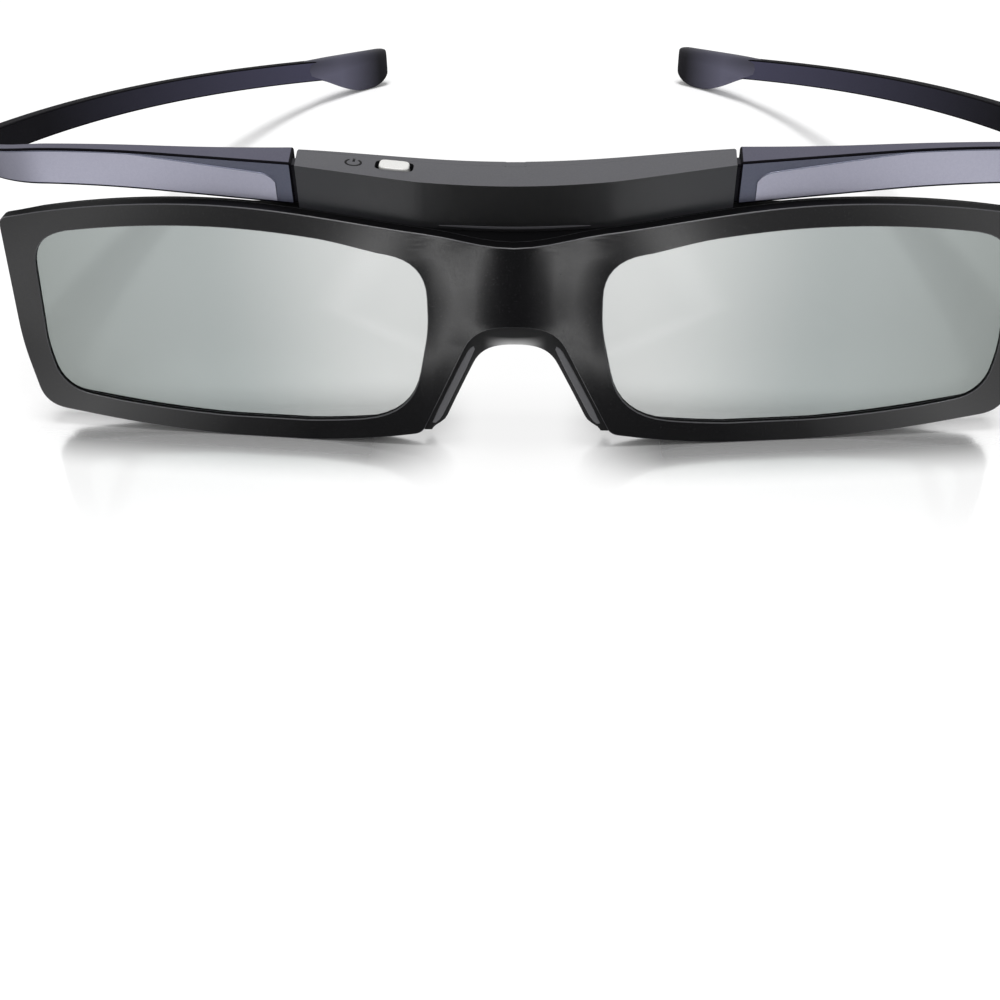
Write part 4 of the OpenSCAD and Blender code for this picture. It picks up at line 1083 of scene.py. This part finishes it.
def pad_ring(side, gone):
    """One section of the pad at a share of its length; its foot lies on the floor and its nose turns up."""
    t = mix(pad_at, 1, gone)
    close = math.sqrt(max(0.0, 1 - (max(0.0, gone - nose_at) / 0.1) ** 2))
    width = mix(arm_w1 - 0.1, pad_w, ease(min(1, gone / pad_swell))) * mix(nose_thin, 1, close)
    top = back(t).z + mix(arm_h(pad_at) / 2 - pad_lap, pad_rise, gone) - nose_top * (1 - close)
    low = mix(back(pad_at).z - arm_h(pad_at) / 2 + pad_lap, 0, ease(min(1, gone / pad_ramp)))
    low += heel_up * max(0.0, (gone - heel_at) / 0.22) ** 2 + nose_low * (1 - close)
    centre = back(t).to_2d() + inward(t) * arm_w1 / 2
    ring = []
    for i in range(pad_sides):
        a = 2 * math.pi * i / pad_sides
        c, s = (math.copysign(abs(v) ** 0.5, v) for v in (math.cos(a), math.sin(a)))
        flat = centre + inward(t) * c * width / 2
        ring.append((side * flat.x, flat.y, mix(low, top, (s + 1) / 2)))
    return ring


for side, word in sides:
    bm = bmesh.new()
    extruded_arm(bm, [pad_ring(side, math.sin(math.pi / 2 * t)) for t in spread(0, 1, 40)])
    settle(bm, "ear_sleeve_" + word, [pad_rubber], word + "_temple",
           ["ear_pad_" + word], edge=0)

# %% [markdown]
# ## What stays from the CAD model
# The parts inside the module, the ribbons and the two screws keep their CAD shape. The cover's skin is
# closed, so the screws lie just under it. Each still gets the finish of its real material: brass and steel
# with fine streaks, green board lacquer, black moulded epoxy and amber film. The lacquer, epoxy and film
# are smooth or finely pitted plastics, so they use the recipe of the ABS.

# %% Finishes for the inner parts
streak_mm, streak_swing = 0.6, 0.08


def plain_metal(name, dark, light, rough):
    """Rolled or stamped metal: bright, with fine streaks that blur the highlight along one way."""
    made, tree, coords = blank_material(name)
    along = add(tree, "ShaderNodeMapping", {"Vector": coords, "Scale": (1.0, 6.0, 6.0)})
    streaks = add(tree, "ShaderNodeTexNoise", {"Vector": along, "Scale": 1 / (streak_mm * MM), "Detail": 3.0})
    tone = add(tree, "ShaderNodeMixRGB", {0: streaks, 1: paint(dark), 2: paint(light)})
    blur = add(tree, "ShaderNodeMapRange", {
        "Value": streaks, "To Min": rough - streak_swing, "To Max": rough + streak_swing})
    shade = add(tree, "ShaderNodeBsdfPrincipled", {"Base Color": tone, "Roughness": blur, "Metallic": 1.0})
    add(tree, "ShaderNodeOutputMaterial", {"Surface": shade})
    return made


steel = plain_metal("zinc_plated_steel", "#a9adb2", "#c3c7cb", 0.3)
brass = plain_metal("plated_brass", "#c2a768", "#dcc68d", 0.3)
board_lacquer = moulded_abs("board_lacquer_green", "#255a33", "#2f6b3f", 0.4, 0.35, 0.2)
chip_epoxy = moulded_abs("moulded_epoxy_black", "#1a1b1d", "#232427", 0.15, 0.6, 0.4)
film_amber = moulded_abs("polyimide_film_amber", "#a8742c", "#bd8838", 0.5, 0.3, 0.1)
led_clear = moulded_abs("clear_epoxy", "#cfe0c6", "#dceed4", 0.4, 0.2, 0.05)
inner_finish = {
    "cover_screws": steel, "crystal_can": steel, "tact_switch": steel, "coin_cell": steel,
    "contact_plus": brass, "contact_minus": brass, "main_board": board_lacquer, "control_chip": chip_epoxy,
    "switch_plunger": chip_epoxy, "status_led": led_clear,
    "lens_flex_left": film_amber, "lens_flex_right": film_amber}
for name, finish in inner_finish.items():
    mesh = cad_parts[name].data
    mesh.materials.clear()
    mesh.materials.append(finish)
print("CAD nodes with a finish:", len(inner_finish))
